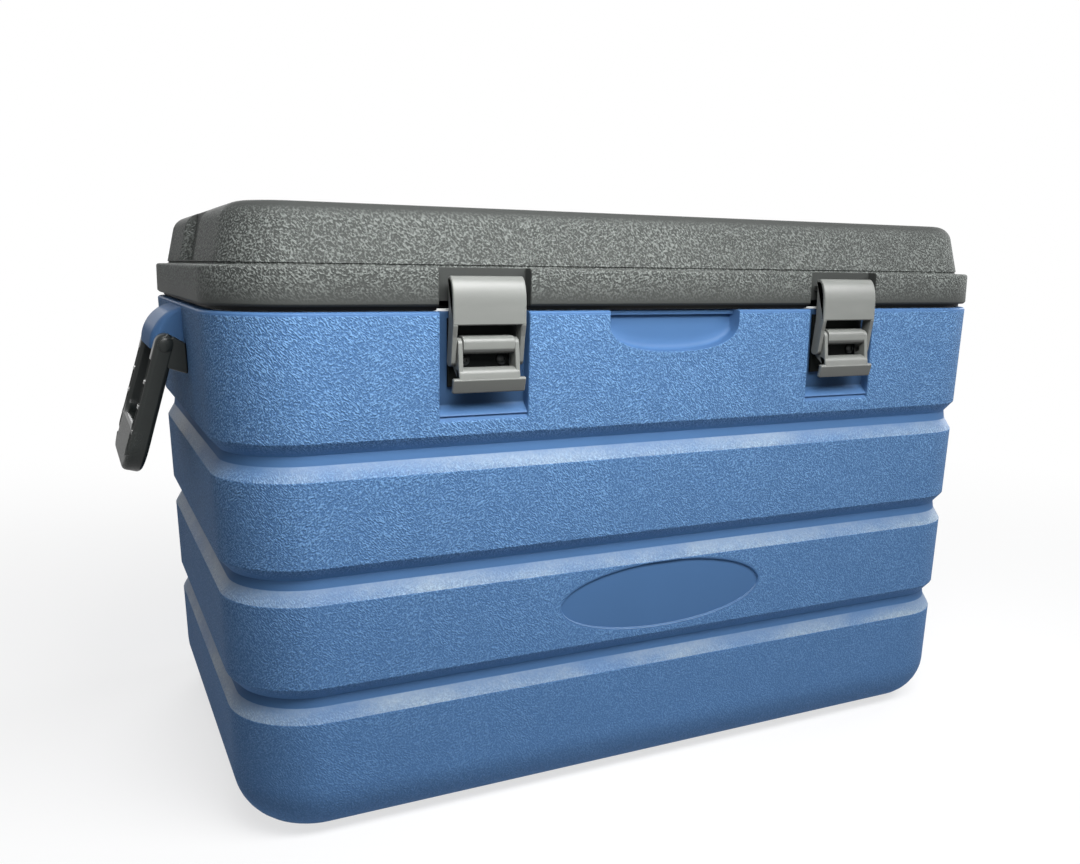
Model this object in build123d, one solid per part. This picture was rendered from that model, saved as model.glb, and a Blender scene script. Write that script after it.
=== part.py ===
"""Insulated carry box with a hinged lid, two draw latches and two swing handles.

Frame: millimetres, origin at the bottom centre, X along the width, the latches
face -Y, +Z up.  The rear carries the lid's hinges.
"""
from build123d import *
import math
import os

# ---------------------------------------------------------------- overall case
WIDTH = 600.0               # X, over the lid skirt
DEPTH = 364.0               # Y, over the lid skirt
RIM_HEIGHT = 330.0          # floor to the top of the outer shell
CORNER_RADIUS = 52.0        # plan radius of the upright corners
SIDE_DRAFT = 0.037          # inset per unit of fall below the rim, each side
FRONT_DRAFT = 0.017         # the same on the front and rear
BASE_ROUND = 35.0           # round between the walls and the floor
SHELL_WALL = 3.0
ROUND_STEPS = 5             # flats that make up a floor round

# Three grooves run round the case
GROOVE_PITCH = 75.5
LOWEST_GROOVE = 95.5        # height of the lowest groove's root line
GROOVE_COUNT = 3
GROOVE_DEPTH = 6.5
GROOVE_LIP_RISE = 7.9       # root up to the lip of the band above
GROOVE_FLOOR_DROP = 6.0     # root down to the foot of the groove floor
GROOVE_CHAMFER_DROP = 15.0  # root down to the top of the band below
GROOVE_FLOOR_OUT = 1.0      # how far the floor leans out at its foot

# ------------------------------------------------------------- inside the case
CAVITY_INSET = 34.0         # skirt face to the cavity wall, at the rim
CAVITY_FLOOR = 40.0
CAVITY_RADIUS = 40.0
CAVITY_ROUND = 20.0
CAVITY_DRAFT = 0.03
LINER_WALL = 2.5
LINER_FLANGE = 1.5          # thickness of the flange on the shell's rim
FLANGE_INSET = 8.0          # outer face to the flange's edge
RIM_LEDGE = 12.0            # outer face to the inner edge of the shell's rim ledge
RIM_LEDGE_THICK = 2.5

# ------------------------------------------------------------------------- lid
SEAM_GAP = 3.0
SKIRT_HEIGHT = 23.0
SKIRT_BEVEL = 1.5
LID_WALL = 3.0
LIP_INSET = 5.0             # skirt face to the lip that covers the seam
LIP_THICK = 2.0
LIP_GAP = 0.5               # lip to the shell's rim
CROWN_INSET = 8.5           # ledge between the skirt and the crown
CROWN_HEIGHT = 37.0
CROWN_TAPER = 12.0          # degrees from upright
CROWN_ROUND = 13.0
PLUG_GAP = 3.5              # cavity wall to the lid's plug
PLUG_DEPTH = 10.0           # how far the plug drops below the rim
GASKET_INSET = 14.0
GASKET_WIDTH = 8.0
GASKET_HEIGHT = 3.5
SIDE_DIP_WIDTH = 84.0       # shallow dip in each end of the crown
SIDE_DIP_INSET = 17.0       # skirt face to the floor of the dip
SIDE_DIP_LEDGE = 2.5
SIDE_DIP_LEAN = 11.0        # degrees that the dip's floor leans in

# ------------------------------------------------------------ front impressions
FINGER_WIDTH = 102.0
FINGER_HEIGHT = 27.4
FINGER_SIDE = 8.0           # straight part of its sides, above the curved bottom
FINGER_DEPTH = 10.0
OVAL_WIDTH = 163.0
OVAL_HEIGHT = 47.0
OVAL_RISE = 36.3            # lowest groove's root to the oval's centre
OVAL_DEPTH = 1.6

# --------------------------------------------------------------------- latches
# A latch place is a pair: outward of the skirt face, and above the rim.
LATCH_X = 141.0             # each side of the pair's middle
LATCH_SHIFT = 2.5           # box's middle to the pair's middle, along +X
POCKET_SIDE = 5.5           # latch to the pocket's side walls
POCKET_BOTTOM = -65.5
POCKET_FLOOR_END = -57.0    # where the pocket's floor starts to slope out
POCKET_DEPTH = 7.0
NOTCH_SIDE = 6.0            # latch to the sides of the notch in the lid's skirt
NOTCH_DEPTH = 8.0
LATCH_WIDTH = 48.0
CHEEK = 3.2                 # thickness of the strap's cheeks
LEVER_ARM = 3.0             # thickness of the lever's arms
SIDE_PLAY = 0.6             # gap between neighbouring latch cheeks
LEVER_PIVOT = (0.5, -20.0)
STRAP_PIVOT = (-1.0, -29.5)
BARREL_RADIUS = 5.5
LEVER_EYE = 4.5             # radius of the lever's eyes
STRAP_EYE = 3.6             # radius of the strap's eyes
LATCH_PIN_RADIUS = 2.0
PIN_END_INSET = 0.5         # strap pin's end, inside the cheek's face
STRAP_TOP = 21.5
STRAP_BEND = 5.0            # where the strap starts to bow in
STRAP_WINDOW = -8.0         # top of the strap's window
STRAP_PROUD = 7.5
STRAP_THICK = 3.0
STRAP_NOSE = -2.6           # inward reach of the strap's hooked top
NOSE_DROP = 1.0             # how far the nose hooks down
CHEEK_BACK = -1.5           # rear edge of the cheeks
CHEEK_SHOULDER = 6.0        # height of the cheeks' full width below the window's top
LEVER_TOP = -33.5
LEVER_STEP = -40.0          # where the grip widens to the full latch
LEVER_BOTTOM = -49.0
LEVER_PROUD = 9.0           # grip's lower edge
GRIP_LEAN = 2.0             # how far the grip's top lies behind its lower edge
GRIP_THICK = 3.5
GRIP_ROLL = 2.5             # size of the roll behind the grip's top edge
ARM_BACK = 3.5              # strap pin to the arm's rear edge
BRACKET_THICK = 2.5
BRACKET_BOTTOM = -46.0
BRACKET_TOP = -4.0
BRACKET_SCREW_X = 12.5      # each side of the latch's middle
BRACKET_SCREW_RISE = -29.5
KEEPER_GAP = 0.4            # strap nose to the keeper, in plan
KEEPER_HEIGHT = 4.0
KEEPER_DROP = 5.0           # strap's top down to the keeper's top

# ---------------------------------------------------------------------- hinges
HINGE_X = 190.0
HINGE_WIDTH = 60.0
LEAF_THICK = 3.0
LEAF_HEIGHT = 26.0
LEAF_DROP = 1.0             # rim down to the body leaf's top
LID_LEAF_HEIGHT = 18.0
LID_LEAF_RISE = 2.0         # skirt's lower edge up to the lid leaf
LEAF_WEB = 2.5              # web under the body leaf's knuckles
KNUCKLE_RADIUS = 4.5
KNUCKLE_SET_OUT = 8.0       # rear face to the hinge axis
HINGE_PIN_RADIUS = 2.0
CENTRE_KNUCKLE = 21.0
KNUCKLE_GAP = 0.5

# --------------------------------------------------------------------- handles
HANDLE_PIVOT_OUT = 12.0     # skirt side to the pivot axis
HANDLE_PIVOT_DROP = 26.0    # rim to the pivot axis
HANDLE_TILT = 16.0          # degrees outward from upright, at rest
HANDLE_SPAN = 115.0         # Y, over both arms
HANDLE_ARM_WIDTH = 15.0
HANDLE_THICK = 13.0
HANDLE_DROP = 88.5          # pivot to the grip's lower edge
HANDLE_GRIP = 30.0          # depth of the grip below its loop
HANDLE_CROWN = 7.0          # pivot to the top of an arm
HANDLE_CORNER = 20.0
HANDLE_EDGE = 4.0
HEEL_DROP = 20.0            # length of the flat that rests against the wall
HEEL_TOE = 14.5             # pivot to the heel's foot, along the arm
HEEL_GAP = 0.3
HEEL_SIDE = 0.5             # heel's sides, inside the arm's sides
HEEL_CROWN = (4.0, 6.0)     # heel's top corner: outward and up from the pivot
SLOT_COUNT = 4
SLOT_PITCH = 17.0
SLOT_FIRST = 12.0           # pivot to the first slot in an arm
SLOT_LENGTH = 14.0
SLOT_WALL = 2.0
SLOT_DEPTH = 4.0
HANDLE_PIN_RADIUS = 3.0
HANDLE_PIN_REACH = 15.0     # length held inside the hood
HANDLE_PIN_HEAD = 4.8       # radius
HANDLE_PIN_HEAD_HEIGHT = 1.6
HANDLE_PIN_GAP = 0.2        # head to the arm
HOOD_TOP_DROP = 1.0         # rim to the hood's top edge
HOOD_HEIGHT = 29.0
HOOD_REACH = 20.5           # how far the hood's lower lip stands out
HOOD_SLOPE = 30.0           # degrees that the hood's top falls
HOOD_BEND = 28.0            # radius between the slope and the lip
HOOD_END_ROUND = 8.0
HOOD_ARM_GAP = 1.0

# ------------------------------------------------------------------- fasteners
SCREW_SHANK_RADIUS = 2.0
SCREW_LENGTH = 10.0
SCREW_HEAD_RADIUS = 3.5
SCREW_HEAD_HEIGHT = 2.2
SCREW_BACKING = 12.0        # solid plastic behind a screwed face
RUN_GAP = 0.08              # radial clearance of a turning pin
FIT_GAP = 0.05              # radial clearance of a fixed pin or screw
BORE_SPARE = 1.0            # how much deeper a blind hole is than what it holds
CUT_MARGIN = 10.0           # how far a cutter runs past the face that it opens

# ------------------------------------------------------- places worked out once
FRONT = -DEPTH / 2
REAR = DEPTH / 2
LID_BOTTOM = RIM_HEIGHT + SEAM_GAP
SKIRT_TOP = LID_BOTTOM + SKIRT_HEIGHT
LID_TOP = SKIRT_TOP + CROWN_HEIGHT
GASKET_BOTTOM = RIM_HEIGHT + LINER_FLANGE
LINER_PLATE = GASKET_BOTTOM + GASKET_HEIGHT
HINGE_Y = REAR + KNUCKLE_SET_OUT
HINGE_Z = RIM_HEIGHT + SEAM_GAP / 2
LEAF_TOP = RIM_HEIGHT - LEAF_DROP
LID_LEAF_BOTTOM = LID_BOTTOM + LID_LEAF_RISE
OVAL_CENTRE = LOWEST_GROOVE + OVAL_RISE
HANDLE_PIVOT_X = WIDTH / 2 + HANDLE_PIVOT_OUT
HANDLE_PIVOT_HEIGHT = RIM_HEIGHT - HANDLE_PIVOT_DROP
HOOD_TOP = RIM_HEIGHT - HOOD_TOP_DROP
HOOD_BOTTOM = HOOD_TOP - HOOD_HEIGHT
HOOD_HALF = HANDLE_SPAN / 2 - HANDLE_ARM_WIDTH - HOOD_ARM_GAP
POCKET_WIDTH = LATCH_WIDTH + 2 * POCKET_SIDE
NOTCH_WIDTH = LATCH_WIDTH + 2 * NOTCH_SIDE
STRAP_INNER = LATCH_WIDTH / 2 - CHEEK
LEVER_OUTER = STRAP_INNER - SIDE_PLAY
BARREL_HALF = LEVER_OUTER - LEVER_ARM - SIDE_PLAY / 2
SIDES = (("left", -1), ("right", 1))


# ------------------------------------------------------------- shared builders
def span_box(x_low, x_high, y_low, y_high, z_low, z_high):
    """Box given by its limits."""
    size = (x_high - x_low, y_high - y_low, z_high - z_low)
    return Pos(x_low, y_low, z_low) * Box(*size, align=(Align.MIN, Align.MIN, Align.MIN))


def rod(start, end, radius):
    """Round rod between two points."""
    axis = Vector(*end) - Vector(*start)
    return extrude(Plane(origin=start, z_dir=axis) * Circle(radius), axis.length)


def case_section(height, inset, side_draft, front_draft, radius):
    """Rounded rectangle of a drafted box, level with the given height."""
    fall = RIM_HEIGHT - height
    width = WIDTH - 2 * (inset + side_draft * fall)
    depth = DEPTH - 2 * (inset + front_draft * fall)
    return Pos(0, 0, height) * RectangleRounded(width, depth, radius)


def floor_round(floor, radius):
    """Heights and insets of the flats that round a floor into its walls."""
    turns = [math.pi / 2 * step / ROUND_STEPS for step in range(ROUND_STEPS + 1)]
    return [(floor + radius * (1 - math.cos(turn)), radius * (1 - math.sin(turn))) for turn in turns]


def groove_levels():
    """Heights and insets of the grooves, from the lowest upwards."""
    levels = []
    for index in range(GROOVE_COUNT):
        root = LOWEST_GROOVE + index * GROOVE_PITCH
        levels.append((root - GROOVE_CHAMFER_DROP, 0.0))
        levels.append((root - GROOVE_FLOOR_DROP, GROOVE_DEPTH - GROOVE_FLOOR_OUT))
        levels.append((root, GROOVE_DEPTH))
        levels.append((root + GROOVE_LIP_RISE, 0.0))
    return levels


def grooved_solid(wall):
    """The grooved case, moved in by a wall thickness, up to the rim."""
    levels = floor_round(wall, BASE_ROUND - wall) + groove_levels() + [(RIM_HEIGHT, 0.0)]
    sections = []
    for height, inset in levels:
        radius = CORNER_RADIUS - wall - inset
        sections.append(case_section(height, inset + wall, SIDE_DRAFT, FRONT_DRAFT, radius))
    return loft(sections, ruled=True)


def tub_solid(wall):
    """The smooth storage tub, grown outward by a wall thickness."""
    levels = floor_round(CAVITY_FLOOR - wall, CAVITY_ROUND + wall) + [(RIM_HEIGHT, 0.0)]
    sections = []
    for height, inset in levels:
        radius = CAVITY_RADIUS + wall - inset
        place = CAVITY_INSET - wall + inset
        sections.append(case_section(height, place, CAVITY_DRAFT, CAVITY_DRAFT, radius))
    return loft(sections, ruled=True)


def plan_block(inset, z_low, z_high):
    """Upright block with the skirt's plan, moved in by an inset."""
    plan = RectangleRounded(WIDTH - 2 * inset, DEPTH - 2 * inset, CORNER_RADIUS - inset)
    return extrude(Pos(0, 0, z_low) * plan, z_high - z_low)


def crown_block(wall, z_low):
    """The lid's tapered, round-shouldered crown, moved in by a wall thickness."""
    inset = CROWN_INSET + wall
    plan = RectangleRounded(WIDTH - 2 * inset, DEPTH - 2 * inset, CORNER_RADIUS - inset)
    top = LID_TOP - wall
    block = extrude(Pos(0, 0, z_low) * plan, top - z_low, taper=CROWN_TAPER)
    return fillet(block.faces().sort_by(Axis.Z)[-1].edges(), CROWN_ROUND - wall)


def front_profile(points, x_centre, width):
    """Prism along X from latch places, centred on a place in X."""
    outline = [(FRONT - outward, RIM_HEIGHT + rise) for outward, rise in points]
    face = make_face(Polyline(*outline, close=True))
    plane = Plane(origin=(x_centre - width / 2, 0, 0), x_dir=(0, 1, 0), z_dir=(1, 0, 0))
    return extrude(plane * face, width)


def front_rod(place, x_low, x_high, radius):
    """Rod along X at a latch place."""
    outward, rise = place
    y, z = FRONT - outward, RIM_HEIGHT + rise
    return rod((x_low, y, z), (x_high, y, z), radius)


def screw(seat, direction):
    """Pan-head screw whose head sits on a seat and whose shank runs along a direction."""
    along = Vector(*direction)
    start = Vector(*seat)
    head = rod(start, start - along * SCREW_HEAD_HEIGHT, SCREW_HEAD_RADIUS)
    shank = rod(start, start + along * SCREW_LENGTH, SCREW_SHANK_RADIUS)
    return head + shank


def screw_hole(seat, direction):
    """Hole for the shank of a screw, a little deeper than the shank."""
    along = Vector(*direction)
    start = Vector(*seat) - along * FIT_GAP
    return rod(start, start + along * (SCREW_LENGTH + BORE_SPARE), SCREW_SHANK_RADIUS + FIT_GAP)


# ----------------------------------------------------------- places of fasteners
def hinge_screw_seats(centre, height):
    """Seats of one leaf's two screws, on the leaf's outer face."""
    reach = HINGE_WIDTH / 3
    return [(centre + side * reach, REAR + LEAF_THICK, height) for side in (-1, 1)]


def bracket_screw_seats(centre):
    """Seats of one latch bracket's two screws, on its base plate."""
    y = FRONT + POCKET_DEPTH - BRACKET_THICK
    z = RIM_HEIGHT + BRACKET_SCREW_RISE
    return [(centre + side * BRACKET_SCREW_X, y, z) for side in (-1, 1)]


BODY_LEAF_SCREW_Z = LEAF_TOP - LEAF_HEIGHT / 2
LID_LEAF_SCREW_Z = LID_LEAF_BOTTOM + LID_LEAF_HEIGHT / 2
HINGE_CENTRES = [side * HINGE_X for _, side in SIDES]
LATCH_CENTRES = [LATCH_SHIFT + side * LATCH_X for _, side in SIDES]


# ------------------------------------------------------------------ outer shell
def latch_pocket(centre):
    """Cutter for the sunk place behind one latch."""
    slope = (POCKET_FLOOR_END - POCKET_BOTTOM) / POCKET_DEPTH
    points = [
        (CUT_MARGIN, CUT_MARGIN),
        (-POCKET_DEPTH, CUT_MARGIN),
        (-POCKET_DEPTH, POCKET_FLOOR_END),
        (CUT_MARGIN, POCKET_BOTTOM - slope * CUT_MARGIN),
    ]
    return front_profile(points, centre, POCKET_WIDTH)


def finger_pocket():
    """Cutter for the finger pull below the front of the lid."""
    half = FINGER_WIDTH / 2
    floor_y = FRONT + FINGER_DEPTH
    sill = RIM_HEIGHT - FINGER_SIDE
    plane = Plane(origin=(0, floor_y, sill), x_dir=(1, 0, 0), z_dir=(0, -1, 0))
    bowl = extrude(plane * Ellipse(half, FINGER_HEIGHT - FINGER_SIDE), FINGER_DEPTH + CUT_MARGIN)
    return bowl + span_box(-half, half, FRONT - CUT_MARGIN, floor_y, sill, RIM_HEIGHT + CUT_MARGIN)


def oval_cut():
    """Cutter for the bare oval impression in the third band."""
    fall = RIM_HEIGHT - OVAL_CENTRE
    face_y = FRONT + FRONT_DRAFT * fall
    lean = math.degrees(math.atan(FRONT_DRAFT))
    plane = Plane(origin=(0, face_y + OVAL_DEPTH, OVAL_CENTRE), x_dir=(1, 0, 0), z_dir=(0, -1, 0))
    oval = extrude(plane * Ellipse(OVAL_WIDTH / 2, OVAL_HEIGHT / 2), CUT_MARGIN)
    return oval.rotate(Axis((0, face_y, OVAL_CENTRE), (1, 0, 0)), lean)


def shell_backings():
    """Blocks of solid wall behind the pockets and screws."""
    blocks = []
    inside = FRONT + SHELL_WALL
    for centre in LATCH_CENTRES:
        half = POCKET_WIDTH / 2 + SHELL_WALL
        deep = FRONT + POCKET_DEPTH + SCREW_BACKING
        blocks.append(span_box(centre - half, centre + half, inside, deep,
                               RIM_HEIGHT + POCKET_BOTTOM - SHELL_WALL, RIM_HEIGHT))
    half = FINGER_WIDTH / 2 + SHELL_WALL
    blocks.append(span_box(-half, half, inside, FRONT + FINGER_DEPTH + SHELL_WALL,
                           RIM_HEIGHT - FINGER_HEIGHT - SHELL_WALL, RIM_HEIGHT))
    for centre in HINGE_CENTRES:
        half = HINGE_WIDTH / 2
        blocks.append(span_box(centre - half, centre + half, REAR - SCREW_BACKING, REAR - SHELL_WALL,
                               RIM_HEIGHT - LEAF_HEIGHT, RIM_HEIGHT))
    return blocks


def handle_hood():
    """Raised hood on the left end that carries one handle."""
    root_x = -(WIDTH / 2 - CAVITY_INSET / 2)
    side_x = -WIDTH / 2
    lip_x = side_x - HOOD_REACH
    knee_z = HOOD_TOP - HOOD_REACH * math.tan(math.radians(HOOD_SLOPE))
    slope = FilletPolyline((side_x, HOOD_TOP), (lip_x, knee_z), (lip_x, HOOD_BOTTOM), radius=HOOD_BEND)
    root = Polyline((lip_x, HOOD_BOTTOM), (root_x, HOOD_BOTTOM), (root_x, HOOD_TOP), (side_x, HOOD_TOP))
    plane = Plane(origin=(0, HOOD_HALF, 0), x_dir=(1, 0, 0), z_dir=(0, -1, 0))
    hood = extrude(plane * make_face(slope + root), 2 * HOOD_HALF)
    rounded = hood.faces().filter_by(Axis.Y).edges()
    rounded = [edge for edge in rounded if edge.center().Z > HOOD_BOTTOM + FIT_GAP]
    rounded = [edge for edge in rounded if edge.center().X < root_x - FIT_GAP]
    return fillet(rounded, HOOD_END_ROUND)


def handle_pin_holes(side):
    """Cutters for the two pin holes of one hood."""
    x = side * HANDLE_PIVOT_X
    deep = HOOD_HALF - HANDLE_PIN_REACH - BORE_SPARE
    holes = []
    for end in (-1, 1):
        start = (x, end * (HOOD_HALF + CUT_MARGIN), HANDLE_PIVOT_HEIGHT)
        stop = (x, end * deep, HANDLE_PIVOT_HEIGHT)
        holes.append(rod(start, stop, HANDLE_PIN_RADIUS + FIT_GAP))
    return holes


shell_outer = grooved_solid(0.0)
shell_void = grooved_solid(SHELL_WALL)
for block in shell_backings():
    shell_void -= block

rim_low = RIM_HEIGHT - RIM_LEDGE_THICK
rim_ledge = plan_block(0.0, rim_low, RIM_HEIGHT) - plan_block(RIM_LEDGE, rim_low, RIM_HEIGHT)
shell_void -= rim_ledge

outer_shell = shell_outer - shell_void
left_hood = handle_hood() - shell_outer
outer_shell += left_hood
outer_shell += mirror(left_hood, about=Plane.YZ)
for centre in HINGE_CENTRES:
    pad = span_box(centre - HINGE_WIDTH / 2, centre + HINGE_WIDTH / 2, REAR - SHELL_WALL, REAR,
                   LEAF_TOP - LEAF_HEIGHT, RIM_HEIGHT)
    outer_shell += pad
for centre in LATCH_CENTRES:
    outer_shell -= latch_pocket(centre)
    for seat in bracket_screw_seats(centre):
        outer_shell -= screw_hole(seat, (0, 1, 0))
outer_shell -= finger_pocket()
outer_shell -= oval_cut()
for centre in HINGE_CENTRES:
    for seat in hinge_screw_seats(centre, BODY_LEAF_SCREW_Z):
        outer_shell -= screw_hole(seat, (0, -1, 0))
for _, side in SIDES:
    for hole in handle_pin_holes(side):
        outer_shell -= hole

# ------------------------------------------------------------- liner and foam
tub_outer = tub_solid(LINER_WALL)
body_foam = shell_void - tub_outer

flange = plan_block(FLANGE_INSET, RIM_HEIGHT, RIM_HEIGHT + LINER_FLANGE)
for centre in LATCH_CENTRES:
    flange -= latch_pocket(centre)
flange -= finger_pocket()
cavity = tub_solid(0.0)
cavity_mouth = extrude(case_section(RIM_HEIGHT, CAVITY_INSET, 0, 0, CAVITY_RADIUS), LINER_FLANGE)
inner_liner = tub_outer + flange - cavity - cavity_mouth


# ------------------------------------------------------------------------- lid
def latch_notch(centre):
    """Cutter for the gap in the lid skirt in front of one latch."""
    half = NOTCH_WIDTH / 2
    return span_box(centre - half, centre + half, FRONT - CUT_MARGIN, FRONT + NOTCH_DEPTH,
                    LID_BOTTOM - CUT_MARGIN, SKIRT_TOP)


def side_dip(side):
    """Cutter for the shallow dip in one end of the crown."""
    floor_x = WIDTH / 2 - SIDE_DIP_INSET
    foot = SKIRT_TOP + SIDE_DIP_LEDGE
    cutter = span_box(floor_x, WIDTH / 2 + CUT_MARGIN, -SIDE_DIP_WIDTH / 2, SIDE_DIP_WIDTH / 2,
                      foot, LID_TOP + CUT_MARGIN)
    cutter = cutter.rotate(Axis((floor_x, 0, foot), (0, 1, 0)), -SIDE_DIP_LEAN)
    keep_above = span_box(0, WIDTH, -DEPTH, DEPTH, foot, LID_TOP + 2 * CUT_MARGIN)
    cutter = cutter & keep_above
    return cutter if side > 0 else mirror(cutter, about=Plane.YZ)


def lid_backings():
    """Blocks of solid wall behind the notches, the dips and the hinge screws."""
    blocks = []
    for centre in LATCH_CENTRES:
        half = NOTCH_WIDTH / 2 + LID_WALL
        blocks.append(span_box(centre - half, centre + half, FRONT, FRONT + NOTCH_DEPTH + LID_WALL,
                               LID_BOTTOM, SKIRT_TOP + LID_WALL))
    for centre in HINGE_CENTRES:
        half = HINGE_WIDTH / 2
        blocks.append(span_box(centre - half, centre + half, REAR - SCREW_BACKING, REAR,
                               LID_BOTTOM, SKIRT_TOP))
    half = SIDE_DIP_WIDTH / 2 + LID_WALL
    for _, side in SIDES:
        lean_run = CROWN_HEIGHT * math.tan(math.radians(SIDE_DIP_LEAN))
        deep = WIDTH / 2 - SIDE_DIP_INSET - lean_run - LID_WALL
        low, high = sorted((side * deep, side * WIDTH / 2))
        blocks.append(span_box(low, high, -half, half, SKIRT_TOP - LID_WALL, LID_TOP))
    return blocks


def keeper(centre):
    """Rib at the back of a skirt notch that the latch strap hooks over."""
    half = STRAP_INNER
    top = RIM_HEIGHT + STRAP_TOP - KEEPER_DROP
    reach = STRAP_NOSE - KEEPER_GAP
    return span_box(centre - half, centre + half, FRONT - reach, FRONT + NOTCH_DEPTH + LID_WALL / 2,
                    top - KEEPER_HEIGHT, top)


def slab(z_low, z_high):
    """Wide flat slab that trims a solid to a range of heights."""
    return span_box(-WIDTH, WIDTH, -DEPTH, DEPTH, z_low, z_high)


def seam_lip():
    """Ring under the skirt that covers the edge of the liner's flange."""
    low = RIM_HEIGHT + LIP_GAP
    ring = plan_block(LID_WALL / 2, LID_BOTTOM, LINER_PLATE) + plan_block(LIP_INSET, low, LID_BOTTOM)
    return ring - plan_block(LIP_INSET + LIP_THICK, low, LINER_PLATE)


skirt = plan_block(0.0, LID_BOTTOM, SKIRT_TOP)
skirt = chamfer(skirt.faces().sort_by(Axis.Z)[0].edges(), SKIRT_BEVEL)
lid_outer = skirt + crown_block(0.0, SKIRT_TOP)
lid_void = plan_block(LID_WALL, LID_BOTTOM, SKIRT_TOP - LID_WALL)
lid_void += crown_block(LID_WALL, SKIRT_TOP - LID_WALL)
for block in lid_backings():
    lid_void -= block

lid_shell = lid_outer - lid_void + seam_lip()
for centre in LATCH_CENTRES:
    lid_shell = lid_shell - latch_notch(centre) + keeper(centre)
for _, side in SIDES:
    lid_shell -= side_dip(side)
for centre in HINGE_CENTRES:
    for seat in hinge_screw_seats(centre, LID_LEAF_SCREW_Z):
        lid_shell -= screw_hole(seat, (0, -1, 0))

plug_inset = CAVITY_INSET + PLUG_GAP
plug_bottom = RIM_HEIGHT - PLUG_DEPTH
plug_radius = CAVITY_RADIUS - PLUG_GAP
plug_size = (WIDTH - 2 * plug_inset, DEPTH - 2 * plug_inset)
plug_plan = RectangleRounded(*plug_size, plug_radius)
plug_core_plan = RectangleRounded(plug_size[0] - 2 * LINER_WALL, plug_size[1] - 2 * LINER_WALL,
                                  plug_radius - LINER_WALL)
plate_top = LINER_PLATE + LINER_WALL
plug_outer = extrude(Pos(0, 0, plug_bottom) * plug_plan, plate_top - plug_bottom)
core_bottom = plug_bottom + LINER_WALL
plug_core = extrude(Pos(0, 0, core_bottom) * plug_core_plan, plate_top - core_bottom)

lid_liner = (lid_void & slab(LINER_PLATE, plate_top)) + plug_outer - plug_core
lid_foam = (lid_void & slab(plate_top, LID_TOP)) + plug_core
lid_gasket = plan_block(GASKET_INSET, GASKET_BOTTOM, LINER_PLATE)
lid_gasket -= plan_block(GASKET_INSET + GASKET_WIDTH, GASKET_BOTTOM, LINER_PLATE)


# --------------------------------------------------------------------- latches
def latch_bore(place, centre, gap):
    """Cutter for a pin hole right through one latch."""
    return front_rod(place, centre - LATCH_WIDTH, centre + LATCH_WIDTH, LATCH_PIN_RADIUS + gap)


def latch_bracket(centre):
    """Screwed base of a latch, with the barrel that the lever turns on."""
    back = -POCKET_DEPTH
    front = back + BRACKET_THICK
    out, rise = LEVER_PIVOT
    low, high = rise - BARREL_RADIUS, rise + BARREL_RADIUS
    plate = [(back, BRACKET_BOTTOM), (front, BRACKET_BOTTOM), (front, BRACKET_TOP), (back, BRACKET_TOP)]
    web = [(back, low), (out, low), (out, high), (back, high)]
    bracket = front_profile(plate, centre, 2 * BARREL_HALF) + front_profile(web, centre, 2 * BARREL_HALF)
    bracket += front_rod(LEVER_PIVOT, centre - BARREL_HALF, centre + BARREL_HALF, BARREL_RADIUS)
    bracket -= latch_bore(LEVER_PIVOT, centre, FIT_GAP)
    for seat in bracket_screw_seats(centre):
        bracket -= screw_hole(seat, (0, 1, 0))
    return bracket


def grip_face(rise):
    """How far out the lever's grip stands at a height above the rim."""
    share = (rise - LEVER_BOTTOM) / (LEVER_TOP - LEVER_BOTTOM)
    return LEVER_PROUD - GRIP_LEAN * share


def grip_plate(low, high):
    """Outline of the grip between two heights."""
    return [
        (grip_face(low), low), (grip_face(high), high),
        (grip_face(high) - GRIP_THICK, high), (grip_face(low) - GRIP_THICK, low),
    ]


def latch_lever(centre):
    """Pull lever of a latch: two arms with eyes and a grip that widens at a step."""
    pivot_out, pivot_rise = LEVER_PIVOT
    strap_out, strap_rise = STRAP_PIVOT
    arm = [
        (pivot_out + LEVER_EYE, pivot_rise), (pivot_out - LEVER_EYE, pivot_rise),
        (strap_out - ARM_BACK, strap_rise), (strap_out - ARM_BACK, LEVER_TOP),
        (grip_face(LEVER_STEP) - GRIP_THICK, LEVER_STEP),
        (grip_face(LEVER_STEP), LEVER_STEP), (grip_face(LEVER_TOP), LEVER_TOP),
    ]
    back = grip_face(LEVER_TOP) - GRIP_THICK
    roll = [(back + FIT_GAP, LEVER_TOP), (back - GRIP_ROLL, LEVER_TOP),
            (back - GRIP_ROLL, LEVER_TOP - GRIP_ROLL), (back + FIT_GAP, LEVER_TOP - GRIP_ROLL)]
    lever = front_profile(grip_plate(LEVER_STEP, LEVER_TOP), centre, 2 * LEVER_OUTER)
    lever += front_profile(roll, centre, 2 * LEVER_OUTER)
    lever += front_profile(grip_plate(LEVER_BOTTOM, LEVER_STEP), centre, LATCH_WIDTH)
    for side in (-1, 1):
        middle = centre + side * (LEVER_OUTER - LEVER_ARM / 2)
        low, high = middle - LEVER_ARM / 2, middle + LEVER_ARM / 2
        lever += front_profile(arm, middle, LEVER_ARM)
        lever += front_rod(LEVER_PIVOT, low, high, LEVER_EYE)
    lever -= latch_bore(LEVER_PIVOT, centre, RUN_GAP)
    return lever - latch_bore(STRAP_PIVOT, centre, FIT_GAP)


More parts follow.
